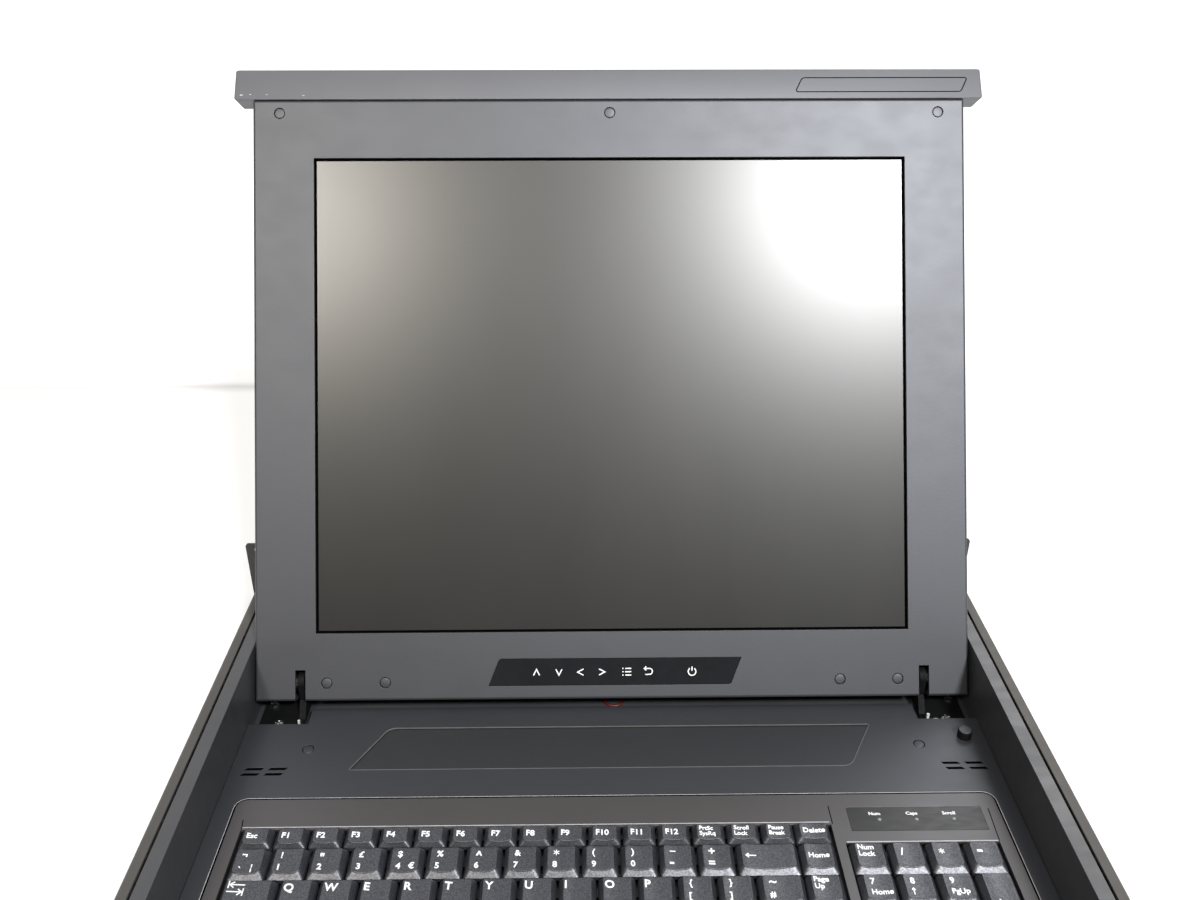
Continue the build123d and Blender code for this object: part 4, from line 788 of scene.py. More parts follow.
def quarter_turn(turns):
    """The matrix that turns points in XY by quarter turns."""
    angle = turns * pi / 2
    return np.array([[np.cos(angle), -np.sin(angle)], [np.sin(angle), np.cos(angle)]])


def ink_stroke(path, width=STROKE_WIDTH):
    """A stroke of a drawn sign, as thick as the legends."""
    return ribbon(path, width, -LEGEND_SINK, LEGEND_RISE)


def arrow(length, turns=0, bar=False):
    """An arrow to the left, turned by quarter turns, with a bar at its head if asked."""
    head = length * 0.28
    strokes = [[(0, 0), (length, 0)], [(head, head * 0.8), (0, 0), (head, -head * 0.8)]]
    if bar:
        strokes.append([(-0.5, -head), (-0.5, head)])
    points, faces = join([ink_stroke(stroke) for stroke in strokes])
    points[:, :2] = (points[:, :2] - np.array([length / 2, 0])) @ quarter_turn(turns).T
    return points, faces


def star_sign():
    """Three short strokes crossed at their middle, a sixth of a turn apart."""
    parts = []
    for angle in (pi / 6, pi / 2, 5 * pi / 6):
        way = np.array([np.cos(angle), np.sin(angle)]) * STAR_WIDTH / 2
        parts.append(ink_stroke([-way, way], STROKE_WIDTH * 0.8))
    return join(parts)


DRAWN_SIGNS = {
    "*": star_sign,
    "<-": lambda: arrow(5.0),
    "tab": lambda: arrow(7.0, 0, True),
    "tab back": lambda: arrow(7.0, 2, True),
    "up": lambda: arrow(3.4, -1),
    "down": lambda: arrow(3.4, 1),
    "left": lambda: arrow(3.4),
    "right": lambda: arrow(3.4, 2),
}
# Printed characters by key: a letter or word, two words with / between them for two lines, or a tuple of
# signs, upper first
FUNCTION_ROW = ["Esc"] + ["F%d" % number for number in range(1, 13)]
FUNCTION_ROW += ["PrtSc/SysRq", "Scroll/Lock", "Pause/Break"]
NUMBER_ROW = [
    ("¬", "`", "¦"), ("!", "1"), ('"', "2"), ("£", "3"), ("$", "4", "€"), ("%", "5"), ("^", "6"), ("&", "7"),
    ("*", "8"), ("(", "9"), (")", "0"), ("_", "-"), ("+", "="), "<-",
]
UPPER_ROW = ["tab/tab back"] + list("QWERTYUIOP") + [("{", "["), ("}", "]"), ("~", "#")]
HOME_ROW = ["Caps Lock"] + list("ASDFGHJKL") + [(":", ";"), ("@", "'"), "Enter"]
LOWER_ROW = ["Shift", ("|", "\\")] + list("ZXCVBNM") + [("<", ","), (">", "."), ("?", "/"), "Shift", "up"]
MODIFIER_ROW = ["Ctrl", "Fn", "Alt", "Alt", "Alt Gr", "Fn", "Ctrl", "left", "down"]
NAVIGATION = ["Delete", "Home", "Page/Up", "Page/Down", "End", "right"]
NUMPAD = [
    "Num/Lock", ("/",), ("*",), ("-",),
    ("7", "Home"), ("8", "up"), ("9", "PgUp"), ("+",),
    ("4", "left"), ("5",), ("6", "right"),
    ("1", "End"), ("2", "down"), ("3", "PgDn"), "Enter",
    ("0", "Ins"), (".", "Del"),
]
LEGENDS = {
    "function_keys": FUNCTION_ROW,
    "number_keys": NUMBER_ROW,
    "upper_letter_keys": UPPER_ROW,
    "home_letter_keys": HOME_ROW,
    "lower_letter_keys": LOWER_ROW,
    "modifier_keys": MODIFIER_ROW,
    "space_bar": [],
    "navigation_keys": NAVIGATION,
    "numpad_keys": NUMPAD,
}


def mark(text, height):
    """One printed mark, a word or a drawn sign, with its left end and its row at the origin."""
    if text in DRAWN_SIGNS:
        points, faces = DRAWN_SIGNS[text]()
        return points - np.array([points[:, 0].min(), 0, 0]), faces
    points, faces = text_shape(text, height * SIGN_SCALE.get(text, 1.0))
    middle = height / 2
    if text in CENTRED_SIGNS:
        middle = (points[:, 1].min() + points[:, 1].max()) / 2
    return points - np.array([0, middle, 0]), faces


def legend_marks(legend, half):
    """The marks of one key with their heights, left ends and rows, seen from the middle of its top face."""
    left = -half[0] + LEFT_MARGIN
    back = half[1] - ROW_MARGIN
    front = -back
    short = half[1] < SHORT_KEY_HALF
    if legend == ("+",) and half[1] > TALL_KEY_HALF:
        return [("+", DIGIT_HEIGHT, left + UPPER_SIGN_SHIFT[0], 0.0)]
    if isinstance(legend, tuple) and len(legend) == 1:
        across, up = LONE_SIGN_SHIFT
        return [(legend[0], LONE_SIGN_HEIGHT, left + across, back + up)]
    if isinstance(legend, tuple):
        across, up = UPPER_SIGN_SHIFT
        marks = [(legend[0], DIGIT_HEIGHT, left + across, back + up)]
        if len(legend[1]) == 1:
            marks.append((legend[1], DIGIT_HEIGHT, left, front))
        else:
            marks.append((legend[1], WORD_HEIGHT, left, front + LOWER_WORD_RISE))
        return marks + [(sign, DIGIT_HEIGHT, left + THIRD_SIGN_SHIFT, front) for sign in legend[2:]]
    if len(legend) == 1:
        across, up = LETTER_SHIFT
        return [(legend, LETTER_HEIGHT, left + across, back + up)]
    lines = legend.split("/")
    if len(lines) == 1:
        centred = short or len(legend) > 5 or legend in DRAWN_SIGNS or legend == "Home"
        height = FUNCTION_HEIGHT if legend[0] == "F" and legend != "Fn" else WORD_HEIGHT
        return [(legend, height, left + WORD_SHIFT, 0.0 if centred else back)]
    across, up = LINES_SHIFT
    height = SMALL_WORD_HEIGHT if short else WORD_HEIGHT
    row = SHORT_KEY_LINES if short else back + up
    step = height * LINE_STEP
    return [(lines[0], height, left + across, row + step), (lines[1], height, left + across, row - step)]


def make_keys():
    """Keycaps and their printed legends, one piece of each for every group of keys."""
    for node, legends in LEGENDS.items():
        group = node.replace("_keys", "")
        boxes = in_rows(islands(node))
        parts = []
        for low, high in boxes:
            parts += [keycap(low, high), key_stem(low, high)]
        stand_in(group + "_keycaps", join(parts), "keys", node)
        marks = []
        for (low, high), legend in zip(boxes, legends):
            middle, half = key_top(low, high)
            for text, height, x, y in legend_marks(legend, half):
                points, faces = mark(text, height)
                points = points + np.array([x, y, 0])
                points[:, 2] += high[2] + LEGEND_LIFT - top_drop(points, half)
                points[:, :2] += middle
                marks.append((points, faces))
        if marks:
            extra(group + "_legends", join(marks), "ink", node, smooth=False, weld=False)


# Small round parts

CAP_RIM = 0.35
LAMP_RIM = 0.3
POST_RADIUS = 3.8
POST_RIM = 0.6
POST_FLANGE = 1.2
HEAD_HEIGHT = 1.9
SHANK_RADIUS = 2.0
SHORTEST_SHANK = 0.6
BALL_RADIUS = 1.5
BALLS_IN_CAGE = 3
CAGE_HALF_HEIGHT = 0.4
CAGE_HALF_WIDTH = 2.5
SHAFT_RADIUS = 2.45
SHAFT_CHAMFER = 0.35
RIVET_RADIUS = 3.3
RIVET_HEIGHT = 1.5
THINNEST_NUT = 3.8
# Outer radius of each ring in a stack of washers, and a hexagon nut's radius over its corners
WASHER_RADII = (3.9, 3.5, 3.9, 3.5)
NUT_RADII = (3.5 / np.cos(pi / 6),)


def round_caps(node, rim, segments=32, unturn=None):
    """A disc with a rounded rim for each separate solid of a CAD node."""
    shapes = []
    for low, high in islands(node, unturn):
        disc = soft_disc((high[0] - low[0]) / 2, low[2], high[2], rim, segments)
        shapes.append(set_at(disc, (*(low[:2] + high[:2]) / 2, 0)))
    return join(shapes)


def make_caps():
    """Screw caps on the lid and on the deck."""
    lid_caps = round_caps("lid_caps", CAP_RIM, unturn=off_lid)
    stand_in("lid_screw_caps", lid_shape(*lid_caps), "bezel", "lid_caps")
    stand_in("deck_screw_caps", round_caps("deck_caps", CAP_RIM), "deck", "deck_caps")


def make_plunger():
    """The lid switch's post: a lathe with a rounded top and a flange under the deck, near black as painted
    shade on its side, and a face in the deck's colour on its top.
    """
    low, high = islands("lid_switch_plunger")[0]
    place = (*(low[:2] + high[:2]) / 2, 0)
    flange = (high[0] - low[0]) / 2
    shoulder = low[2] + POST_FLANGE
    profile = [(0, low[2]), (flange, low[2]), (flange, shoulder), (POST_RADIUS, shoulder)]
    profile += round_rim(POST_RADIUS, high[2], POST_RIM, 6) + [(0, high[2])]
    stand_in("lid_switch_post", set_at(lathe(profile, 40), place), "post", "lid_switch_plunger")
    face = soft_disc(POST_RADIUS - 0.4, high[2] - 0.3, high[2] + 0.02, 0.02)
    extra("lid_switch_face", set_at(face, place), "deck", "lid_switch_plunger")


def pan_head(radius, height):
    """A pan head over polar rings: height h(1 - 0.25 (r/R)^4), less a cross-shaped recess near the middle."""
    recess_depth, arm_half, arm_reach, segments = 0.32, 0.11, 0.62, 48
    shares = np.array([0, 0.12, 0.2, 0.3, 0.4, 0.5, 0.6, 0.72, 0.84, 0.93, 1.0])[:, None]
    angle = np.linspace(0, 2 * pi, segments, endpoint=False)
    x = shares * np.cos(angle)
    y = shares * np.sin(angle)
    top = height * (1 - 0.25 * shares ** 4) * np.ones_like(x)
    recess = (np.minimum(np.abs(x), np.abs(y)) < arm_half) & (shares < arm_reach)
    top = top - np.where(recess, recess_depth * height, 0)
    rings = np.stack([x * radius, y * radius, top], axis=-1)[::-1]
    foot = rings[:1] * np.array([1, 1, 0])
    return np.concatenate([foot * 0, foot, rings]).reshape(-1, 3), grid_faces(len(shares) + 2, segments)


def make_screws():
    """Pan heads in place of the case's and the drawer's screws."""
    shapes = []
    for low, high in islands("case_screws"):
        middle = (low + high) / 2
        side = np.sign(middle[0])
        outward = (side, 0, 0)
        shank = high[0] - low[0] - HEAD_HEIGHT
        seat = (high[0] if side > 0 else low[0]) - side * HEAD_HEIGHT
        shapes.append(set_at(pan_head((high[1] - low[1]) / 2, HEAD_HEIGHT), (seat, *middle[1:]), outward))
        if shank > SHORTEST_SHANK:
            foot = (seat - side * shank, *middle[1:])
            shapes.append(set_at(soft_disc(SHANK_RADIUS, 0, shank, 0.1, 24), foot, outward))
    stand_in("case_screw_heads", join(shapes), "ears", "case_screws")
    shapes = []
    for low, high in islands("drawer_screws"):
        head = pan_head((high[0] - low[0]) / 2, high[2] - low[2])
        shapes.append(set_at(head, (*(low[:2] + high[:2]) / 2, low[2])))
    stand_in("drawer_screw_heads", join(shapes), "zinc", "drawer_screws")


def make_cages():
    """Ball cages: flat strips with round balls where the CAD strip carries its own."""
    turn = np.linspace(-pi / 2, pi / 2, 13)
    ball = lathe(BALL_RADIUS * np.column_stack([np.cos(turn), np.sin(turn)]), 24)
    for node in ("outer_ball_cages", "inner_ball_cages"):
        shapes = []
        for low, high in islands(node):
            x, y, z = (low + high) / 2
            reach = np.array([CAGE_HALF_WIDTH, (high[1] - low[1]) / 2, CAGE_HALF_HEIGHT])
            shapes.append(box_mesh((x, y, z) - reach, (x, y, z) + reach))
            for index in range(BALLS_IN_CAGE):
                share = (index + 0.5) / BALLS_IN_CAGE
                shapes.append(set_at(ball, (x, low[1] + (high[1] - low[1]) * share, z)))
        stand_in(node.replace("_cages", "s_in_cage"), join(shapes), "bearing", node)


def make_hinges():
    """Hinge shafts with domed rivet ends, round friction washers and nuts, in place of the faceted ones."""
    shafts = []
    for low, high in islands("hinge_shafts", off_lid):
        middle = (low + high) / 2
        side = np.sign(middle[0])
        neck = high[0] - low[0] - RIVET_HEIGHT
        turn = np.linspace(0, pi / 2, 6)
        dome = [(RIVET_RADIUS * np.cos(a), neck + RIVET_HEIGHT * np.sin(a)) for a in turn]
        foot = [(0, 0), (SHAFT_RADIUS - SHAFT_CHAMFER, 0), (SHAFT_RADIUS, SHAFT_CHAMFER)]
        shaft = lathe(foot + [(SHAFT_RADIUS, neck)] + dome)
        start = low[0] if side > 0 else high[0]
        shafts.append(set_at(shaft, (start, *middle[1:]), (side, 0, 0)))
    stand_in("hinge_shafts_round", lid_shape(*join(shafts)), "zinc", "hinge_shafts")
    stacks = []
    for low, high in islands("hinge_friction_stacks", off_lid):
        middle = (low + high) / 2
        long = high[0] - low[0]
        is_nut = long > THINNEST_NUT
        radii, edge, segments = (NUT_RADII, 0.5, 6) if is_nut else (WASHER_RADII, 0.12, 32)
        thick = long / len(radii)
        for index, radius in enumerate(radii):
            profile = [(0, 0), (radius - edge, 0), (radius, edge)]
            profile += [(r, thick - h) for r, h in reversed(profile)]
            place = (low[0] + index * thick, *middle[1:])
            stacks.append(set_at(lathe(profile, segments), place, (1, 0, 0)))
    stand_in("hinge_washers_and_nuts", lid_shape(*join(stacks)), "zinc", "hinge_friction_stacks")


def make_wire():
    """The red wire's loop: two straight runs joined by a half round, seen in the gap under the lid."""
    low, high = box_of("wire_loom")
    radius = (high[2] - low[2]) / 2
    x, _, z = (low + high) / 2
    bend = (high[0] - low[0]) / 2 - radius
    turn = np.linspace(0, pi, 17)
    curve = np.column_stack([x - bend * np.cos(turn), low[1] + radius + bend - bend * np.sin(turn)])
    path = np.concatenate([[(x - bend, high[1])], curve, [(x + bend, high[1])]])
    path = np.column_stack([path, np.full(len(path), z)])
    stand_in("red_wire", tube(path, radius), "wire", "wire_loom")


def make_lamps():
    """Three small domes for the lock lamps."""
    stand_in("lock_lamps", round_caps("status_lamps", LAMP_RIM, 24), "lamps", "status_lamps")


# Printed marks away from the keys

STRIP_ROW = 15.5
STRIP_FACE = -0.2
ICON_STROKE = 0.62
LAMP_WORD_SHIFT = (-1.8, 1.9)


def chevron(x, turns):
    """A two-stroke chevron whose point is turned by quarter turns from up."""
    arm = np.array([(-1.75, -1.7), (0, 1.7), (1.75, -1.7)])
    return arm @ quarter_turn(turns).T + np.array([x, 0])


def arc(x, y, radius, start, end, count=18):
    """Points on a circle's arc between two angles in degrees."""
    angle = np.radians(np.linspace(start, end, count))
    return np.column_stack([x + radius * np.cos(angle), y + radius * np.sin(angle)])


def strip_strokes():
    """The touch strip's seven signs, left to right: up, down, left, right, list, return and power."""
    strokes = [chevron(-44.0, 0), chevron(-31.1, 2), chevron(-18.7, 1), chevron(-6.4, -1)]
    for row in (-1.9, 0, 1.9):
        strokes.append(np.array([(5.3, row), (6.0, row)]))
        strokes.append(np.array([(7.0, row), (10.4, row)]))
    hook = arc(20.9, 0.1, 1.7, 90, -90)
    strokes.append(np.concatenate([[(17.9, 1.8)], hook, [(18.5, -1.6)]]))
    strokes.append(np.array([(19.1, 2.9), (17.9, 1.8), (19.1, 0.7)]))
    strokes.append(arc(45.4, -0.2, 2.2, 125, 415, 26))
    strokes.append(np.array([(45.4, 2.7), (45.4, 0.2)]))
    return strokes


def make_strip_signs():
    """White signs printed on the menu strip."""
    shapes = []
    for stroke in strip_strokes():
        place = stroke + np.array([0, STRIP_ROW])
        shapes.append(ribbon(place, ICON_STROKE, STRIP_FACE - 0.05, STRIP_FACE + 0.05))
    extra("menu_strip_signs", join(shapes), "ink", "menu_strip", lid=True, smooth=False, weld=False)


def make_lamp_words():
    """The lamp window's three small words, one above each lamp."""
    window_top = islands("lamp_window")[0][1][2]
    shapes = []
    lamps = sorted(islands("status_lamps"), key=lambda corners: corners[0][0])
    for (low, high), word in zip(lamps, ("Num", "Caps", "Scroll")):
        points, faces = text_shape(word, LAMP_WORD_HEIGHT)
        x = (low[0] + high[0]) / 2 - points[:, 0].max() / 2 + LAMP_WORD_SHIFT[0]
        shapes.append(set_at((points, faces), (x, high[1] + LAMP_WORD_SHIFT[1], window_top)))
    extra("lamp_words", join(shapes), "ink", "lamp_window", smooth=False, weld=False)


def make_screen():
    """The panel's visible area, a thin plate on the black border behind the bezel."""
    half = PANEL_WIDTH / 2
    rise = PANEL_HEIGHT / 2
    low = (-half, SCREEN_MID - rise, -GLASS_DEPTH)
    high = (half, SCREEN_MID + rise, -GLASS_DEPTH + 0.06)
    extra("lcd_active_area", box_mesh(low, high), "screen", "screen_glass", lid=True, smooth=False)


# The handle beam: its section up the lid and out of it, with the rounding of each corner. The front face,
# which carries the label, runs between the last two corners.
BEAM_HALF = 215.7
BEAM_OUTLINE = [(345.3, -16.5), (351.3, -24.6), (365.3, -24.6), (365.3, -8.6), (363.4, -3.7), (345.3, 0.3)]
BEAM_ROUNDS = [0, 0, 2.0, 2.0, 1.6, 0.4]
# The section's scale at each distance in from the beam's ends
BEAM_ENDS = [(0.0, 0.93), (0.3, 0.97), (1.0, 1.0)]
LABEL_OUTLINE = [(-50.15, -4.5), (45.85, -4.5), (50.15, 4.5), (-45.85, 4.5)]
LABEL_ROUNDS = [1.0, 2.5, 1.0, 2.5]
LABEL_PLACE = (157.6, -0.6, 0)
# Worn flecks on the front face: across, up and size
FLECKS = [(-211.6, -6.4, 0.7), (-206.5, -6.0, 0.45), (-197.0, -6.2, 0.4), (-176.0, -6.8, 0.5)]


def on_beam(shape):
    """A shape drawn on the beam's front face, across, up and out of it, moved to the lid's frame."""
    points, faces = shape
    low, high = np.array(BEAM_OUTLINE[-1]), np.array(BEAM_OUTLINE[-2])
    up = (high - low) / np.linalg.norm(high - low)
    out = np.array([-up[1], up[0]])
    section = (low + high) / 2 + points[:, 1:2] * up + points[:, 2:3] * out
    return np.column_stack([points[:, 0], section]), faces


def make_beam():
    """The handle beam: a rounded section carried across the lid and drawn in a little at both ends. It has
    worn flecks, and round its bare label a black ribbon, the painted shade of a groove."""
    outline = rounded(BEAM_OUTLINE, BEAM_ROUNDS)
    middle = outline.mean(axis=0)
    sections = [(inset - BEAM_HALF, scale) for inset, scale in BEAM_ENDS]
    sections += [(-x, scale) for x, scale in reversed(sections)]
    rings = []
    for x, scale in sections:
        rings.append(np.column_stack([np.full(len(outline), x), middle + (outline - middle) * scale]))
    beam = (np.concatenate(rings), capped_faces(len(rings), len(outline)))
    stand_in("handle_beam", lid_shape(*beam), "beam", "lid_beam")
    flecks = []
    for x, y, size in FLECKS:
        points, faces = soft_disc(size, -0.05, 0.03, 0.01, 8)
        flecks.append(set_at((points * np.array([1.6, 0.6, 1]), faces), (x, y, 0)))
    extra("beam_scuffs", on_beam(join(flecks)), "edge", "lid_beam", lid=True)
    groove = ribbon(rounded(LABEL_OUTLINE, LABEL_ROUNDS), 0.6, -0.1, 0.03, True)
    extra("label_groove_shade", on_beam(set_at(groove, LABEL_PLACE)), "gap", "lid_beam", lid=True, smooth=False)


FRAME_HALF = 195.6
FRAME_FRONT = -118.5
FRAME_REAR = 17.5
DECK_TOP = 12.1
RECESS_OUTLINE = [(-143.0, 38.5), (127.0, 38.5), (144.0, 70.5), (-126.0, 70.5)]
RECESS_ROUNDS = [0.6, 7.0, 0.6, 7.0]
# The vents' two blocks: their middle, half the spacing of columns and rows, and a slot's half sizes and lean
VENT_PLACE = (187.9, 37.75)
VENT_STEP = (6.3, 1.95)
VENT_STAGGER = 0.7
VENT_HALF = (4.5, 0.76)
# Pale lines behind the wells' rear edges, as painted highlights, and dark lines between them, as paths on the
# keyboard frame
WELL_EDGES = [
    ([(113.2, -13.9), (150, -13.9), (188.6, -13.9)], 0.35),
    ([(-188.4, -1.0), (-40, -1.0), (107.2, -1.0)], 0.3),
]
WELL_EDGE_LEVEL = 12.3
FRAME_DARK_LINES = [[(108.6, 9.6), (108.6, -2.2)], [(-189.5, 4.0), (-188.6, -2.2)], [(190.4, 7.0), (189.2, -14.0)]]


def frame_outline(grow):
    """The keyboard frame's outline, grown by a distance."""
    half, front, rear = FRAME_HALF + grow, FRAME_FRONT - grow, FRAME_REAR + grow
    return rounded([(-half, front), (half, front), (half, rear), (-half, rear)], [5.0 + grow] * 4)


def vent_slot(side, column, row):
    """One slot of a vent: a slim leaning black plate whose ends slope, the painted shade inside the slot."""
    x = side * (VENT_PLACE[0] + column * VENT_STEP[0] - row * VENT_STAGGER)
    y = VENT_PLACE[1] + row * VENT_STEP[1]
    long, wide = VENT_HALF
    lean = VENT_STAGGER * side
    path = [(lean - long, -wide), (lean + long, -wide), (long - lean, wide), (-long - lean, wide)]
    return plate(np.array(path) + np.array([x, y]), DECK_TOP - 1.6, DECK_TOP + 0.03)


def make_deck_lines():
    """Painted shade in the seam round the keyboard frame, painted highlights on the edges of the deck's
    opening and recess, the recess's smoother floor, painted shade inside the vents, and on the keyboard frame
    painted highlights behind the wells with dark lines between them."""
    seam = ribbon(frame_outline(0.5), 1.0, DECK_TOP - 0.9, DECK_TOP + 0.08, True)
    extra("frame_seam_shade", seam, "gap", "deck_cover", smooth=False)
    recess = rounded(RECESS_OUTLINE, RECESS_ROUNDS)
    # Painted highlights: pale beads along the edges of the keyboard opening and the recess
    extra("frame_opening_highlight", bead(frame_outline(1.15), 0.35, DECK_TOP - 0.2), "edge", "deck_cover")
    extra("recess_edge_highlight", bead(recess, 0.4, DECK_TOP - 0.22), "rim", "deck_cover")
    extra("recess_floor", plate(recess, DECK_TOP - 1.0, DECK_TOP - 0.7), "recess", "deck_cover", smooth=False)
    slots = [vent_slot(*signs) for signs in product((-1, 1), repeat=3)]
    extra("vent_shade", join(slots), "gap", "deck_cover", smooth=False)
    edges = [tube([(x, y, WELL_EDGE_LEVEL) for x, y in path], radius, 8) for path, radius in WELL_EDGES]
    extra("well_edge_highlights", join(edges), "edge", "keyboard_frame")
    lines = [ribbon(path, 0.5, 12.0, 12.43) for path in FRAME_DARK_LINES]
    extra("frame_dark_lines", join(lines), "gap", "keyboard_frame", smooth=False)


# Painted glints: pale plates for the zinc hardware in the pockets beside the hinge arms: middle and rear in
# plan, width, depth and top
POCKET_GLINTS = [
    (-179.4, 80.8, 1.3, 1.2, 9.6), (-191.2, 81.1, 2.6, 0.9, 6.6), (-184.0, 79.6, 3.0, 0.7, 6.2),
    (180.6, 81.2, 1.5, 1.2, 10.2), (185.0, 80.6, 3.2, 0.9, 6.8), (190.5, 82.4, 1.4, 1.0, 6.4),
]
POCKET_FLOOR = 4.0


def make_pocket_glints():
    """Pale plates for the zinc hardware in the pockets beside the arms, coloured as painted glints."""
    shapes = []
    for x, y, wide, deep, top in POCKET_GLINTS:
        left, right = x - wide / 2, x + wide / 2
        path = rounded([(left, y - deep), (right, y - deep), (right, y), (left, y)], [0.2] * 4, 3)
        shapes.append(plate(path, POCKET_FLOOR, top))
    extra("hinge_pocket_glints", join(shapes), "bright", "deck_cover", smooth=False)


# The video port's sockets: the middle row's height, the steps of rows and columns, the middle row's shift
PORT_MID = 16.2
PORT_ROW_STEP = 2.0
PORT_COLUMN_STEP = 2.3
PORT_MIDDLE_SHIFT = 0.55


def make_port_details():
    """Fifteen pin sockets in the video port's face, in three rows of five."""
    low, high = box_of("video_port")
    x = (low[0] + high[0]) / 2
    socket = soft_disc(0.45, 0, 0.12, 0.05, 12)
    shapes = []
    for row, column in product((1, 0, -1), (-2, -1, 0, 1, 2)):
        across = column * PORT_COLUMN_STEP + (PORT_MIDDLE_SHIFT if row == 0 else 0)
        shapes.append(set_at(socket, (x + across, high[1], PORT_MID + row * PORT_ROW_STEP), (0, 1, 0)))
    extra("video_port_sockets", join(shapes), "socket", "video_port")


# Stage, light and camera, with places in metres

FLOOR_REACH = 6.0
# Just under the feet, so that floor and case don't share a plane
FLOOR_LEVEL = -0.0002
# Where the floor meets the backdrop, marked by a faint line of painted shade
FLOOR_LINE = 0.56


def unlit_view(tree):
    """Two values that are nought for rays that light the object: one for rays from the camera, the other for
    mirrored and refracted ones."""
    rays = add(tree, "ShaderNodeLightPath")
    sockets = {0: rays.outputs["Is Glossy Ray"], 1: rays.outputs["Is Transmission Ray"]}
    mirrored = add(tree, "ShaderNodeMath", sockets, operation="MAXIMUM").outputs[0]
    return rays.outputs["Is Camera Ray"], mirrored


def floor_material():
    """Pale floor that looks white, with a faint line of painted shade where it meets the backdrop. It takes
    the object's shadow."""
    material, tree = new_material("pale_studio_floor")
    coords = add(tree, "ShaderNodeTexCoord").outputs["Object"]
    parts = add(tree, "ShaderNodeSeparateXYZ", {"Vector": coords})
    sockets = {"Value": parts.outputs["Y"], "From Min": FLOOR_LINE - 0.5, "From Max": FLOOR_LINE + 0.5}
    place = add(tree, "ShaderNodeMapRange", sockets).outputs["Result"]
    stops = [(0.0, "#cfcfcf"), (0.485, "#cfcfcf"), (0.5, "#a4a4a4"), (0.512, "#d2d2d2"), (1.0, "#ffffff")]
    lined = add(tree, "ShaderNodeValToRGB", {"Fac": place}, stops).outputs["Color"]
    stops = [(0.0, "#cfcfcf"), (0.485, "#d4d4d4"), (0.6, "#ffffff")]
    plain = add(tree, "ShaderNodeValToRGB", {"Fac": place}, stops).outputs["Color"]
    # The painted line of shade shows at the left of the console and fades out to its right
    sockets = {"Value": parts.outputs["X"], "From Min": -0.35, "From Max": 0.1}
    fade = add(tree, "ShaderNodeMapRange", sockets).outputs["Result"]
    mixed = add(tree, "ShaderNodeMix", {"Factor": fade, 6: lined, 7: plain}, data_type="RGBA").outputs[2]
    # Far from the console the floor is as white as the backdrop
    reach = add(tree, "ShaderNodeVectorMath", {0: coords}, operation="LENGTH").outputs["Value"]
    sockets = {"Value": reach, "From Min": 1.6, "From Max": 2.8}
    far = add(tree, "ShaderNodeMapRange", sockets).outputs["Result"]
    glow = add(tree, "ShaderNodeMix", {"Factor": far, 6: mixed, 7: (1, 1, 1, 1)}, data_type="RGBA").outputs[2]
    camera, mirrored = unlit_view(tree)
    seen = add(tree, "ShaderNodeMath", {0: camera, 1: mirrored}, operation="MAXIMUM").outputs[0]
    shader = add(tree, "ShaderNodeBsdfPrincipled", {"Base Color": linear("#c9c8c6"), "Roughness": 0.8})
    light = add(tree, "ShaderNodeEmission", {"Color": glow, "Strength": seen})
    both = add(tree, "ShaderNodeAddShader", {0: shader.outputs[0], 1: light.outputs[0]})
    add(tree, "ShaderNodeOutputMaterial", {"Surface": both.outputs[0]})
    return material


def make_stage():
    """A wide floor under the console."""
    mesh = bpy.data.meshes.new("floor")
    corners = [(x * FLOOR_REACH, y * FLOOR_REACH, 0) for x, y in ((-1, -1), (1, -1), (1, 1), (-1, 1))]
    mesh.from_pydata(corners, [], [(0, 1, 2, 3)])
    mesh.materials.append(floor_material())
    floor = bpy.data.objects.new("floor", mesh)
    bpy.context.scene.collection.objects.link(floor)
    floor.location.z = FLOOR_LEVEL


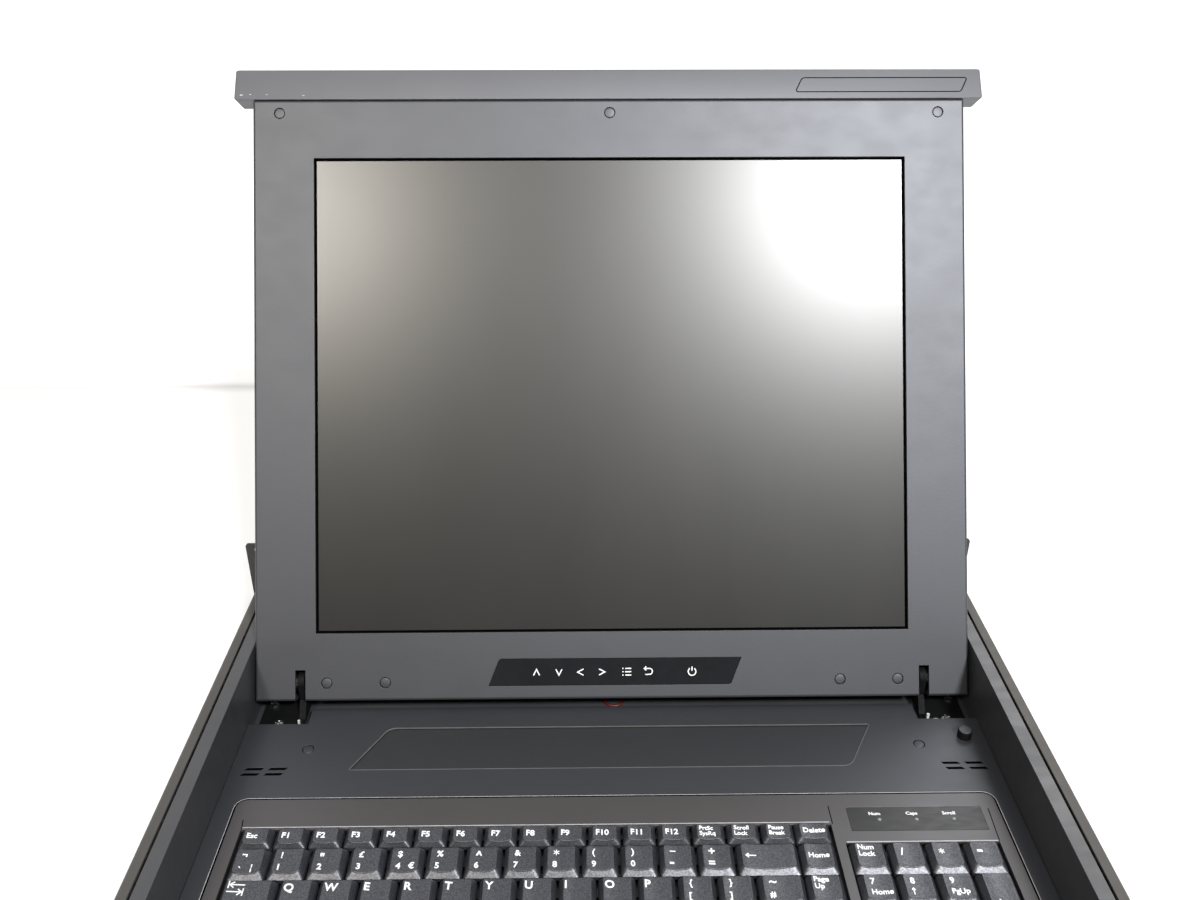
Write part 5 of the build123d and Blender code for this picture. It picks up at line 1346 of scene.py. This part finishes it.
def make_world():
    """Soft room light, brighter overhead. The camera sees a white backdrop, and so do mirrored rays that
    leave towards the rear, where the backdrop stands."""
    world = bpy.data.worlds.new("room")
    bpy.context.scene.world = world
    world.use_nodes = True
    tree = world.node_tree
    tree.nodes.clear()
    direction = add(tree, "ShaderNodeTexCoord").outputs["Generated"]
    parts = add(tree, "ShaderNodeSeparateXYZ", {"Vector": direction})
    stops = [(0.0, "#6f6d6a"), (0.35, "#8d8b88"), (0.6, "#cfcdc9"), (1.0, "#dedcd8")]
    level = add(tree, "ShaderNodeValToRGB", {"Fac": parts.outputs["Z"]}, stops).outputs["Color"]
    room = add(tree, "ShaderNodeBackground", {"Color": level, "Strength": 0.42})
    white = add(tree, "ShaderNodeBackground", {"Color": (1, 1, 1, 1), "Strength": 1.0})
    camera, mirrored = unlit_view(tree)
    sockets = {"Value": parts.outputs["Y"], "From Min": 0.0, "From Max": 0.3}
    rear = add(tree, "ShaderNodeMapRange", sockets).outputs["Result"]
    backdrop = add(tree, "ShaderNodeMath", {0: mirrored, 1: rear}, operation="MULTIPLY").outputs[0]
    seen = add(tree, "ShaderNodeMath", {0: camera, 1: backdrop}, operation="MAXIMUM").outputs[0]
    mix = add(tree, "ShaderNodeMixShader", {"Fac": seen, 1: room.outputs[0], 2: white.outputs[0]})
    add(tree, "ShaderNodeOutputWorld", {"Surface": mix.outputs[0]})


def add_lamp(name, place, target, size, power, code="#ffffff"):
    """A round area lamp aimed at a point."""
    data = bpy.data.lights.new(name, "AREA")
    data.shape = "DISK"
    data.size = size
    data.energy = power
    data.color = linear(code)[:3]
    lamp = bpy.data.objects.new(name, data)
    bpy.context.scene.collection.objects.link(lamp)
    lamp.location = place
    away = np.array(place) - np.array(target)
    lamp.rotation_euler = (np.arctan2(np.hypot(away[0], away[1]), away[2]), 0, np.arctan2(away[0], -away[1]))


def make_lights():
    """The ceiling lamp whose glare lies on the screen's upper right, a warmer one whose glare lies on its
    upper left, and a weak one behind on the right that greys the flat tops on that side."""
    add_lamp("ceiling_lamp", (0.905, -1.76, 2.13), (0.1, 0.15, 0.2), 0.42, 93.0)
    add_lamp("warm_ceiling_lamp", (-0.912, -1.607, 1.892), (-0.1, 0.15, 0.2), 0.42, 28.0, "#fff8ec")
    add_lamp("rear_right_fill", (1.0, 1.5, 1.65), (0.2, 0.0, 0.03), 0.9, 9.0)


def make_camera():
    """The photograph's camera."""
    data = bpy.data.cameras.new("camera")
    data.sensor_width = SENSOR_WIDTH
    data.sensor_fit = "HORIZONTAL"
    data.lens = CAMERA_LENS
    data.clip_start = 0.02
    camera = bpy.data.objects.new("camera", data)
    bpy.context.scene.collection.objects.link(camera)
    camera.location = np.array(CAMERA_PLACE) * MM
    camera.rotation_euler = (radians(90 - CAMERA_PITCH), 0, radians(-CAMERA_YAW))
    bpy.context.scene.camera = camera


dress_nodes()
make_camera()
make_stage()
make_world()
make_lights()
make_keys()
make_caps()
make_plunger()
make_screws()
make_cages()
make_hinges()
make_wire()
make_lamps()
make_strip_signs()
make_lamp_words()
make_screen()
make_port_details()
make_beam()
make_deck_lines()
make_pocket_glints()
bpy.context.scene.view_settings.view_transform = "Standard"
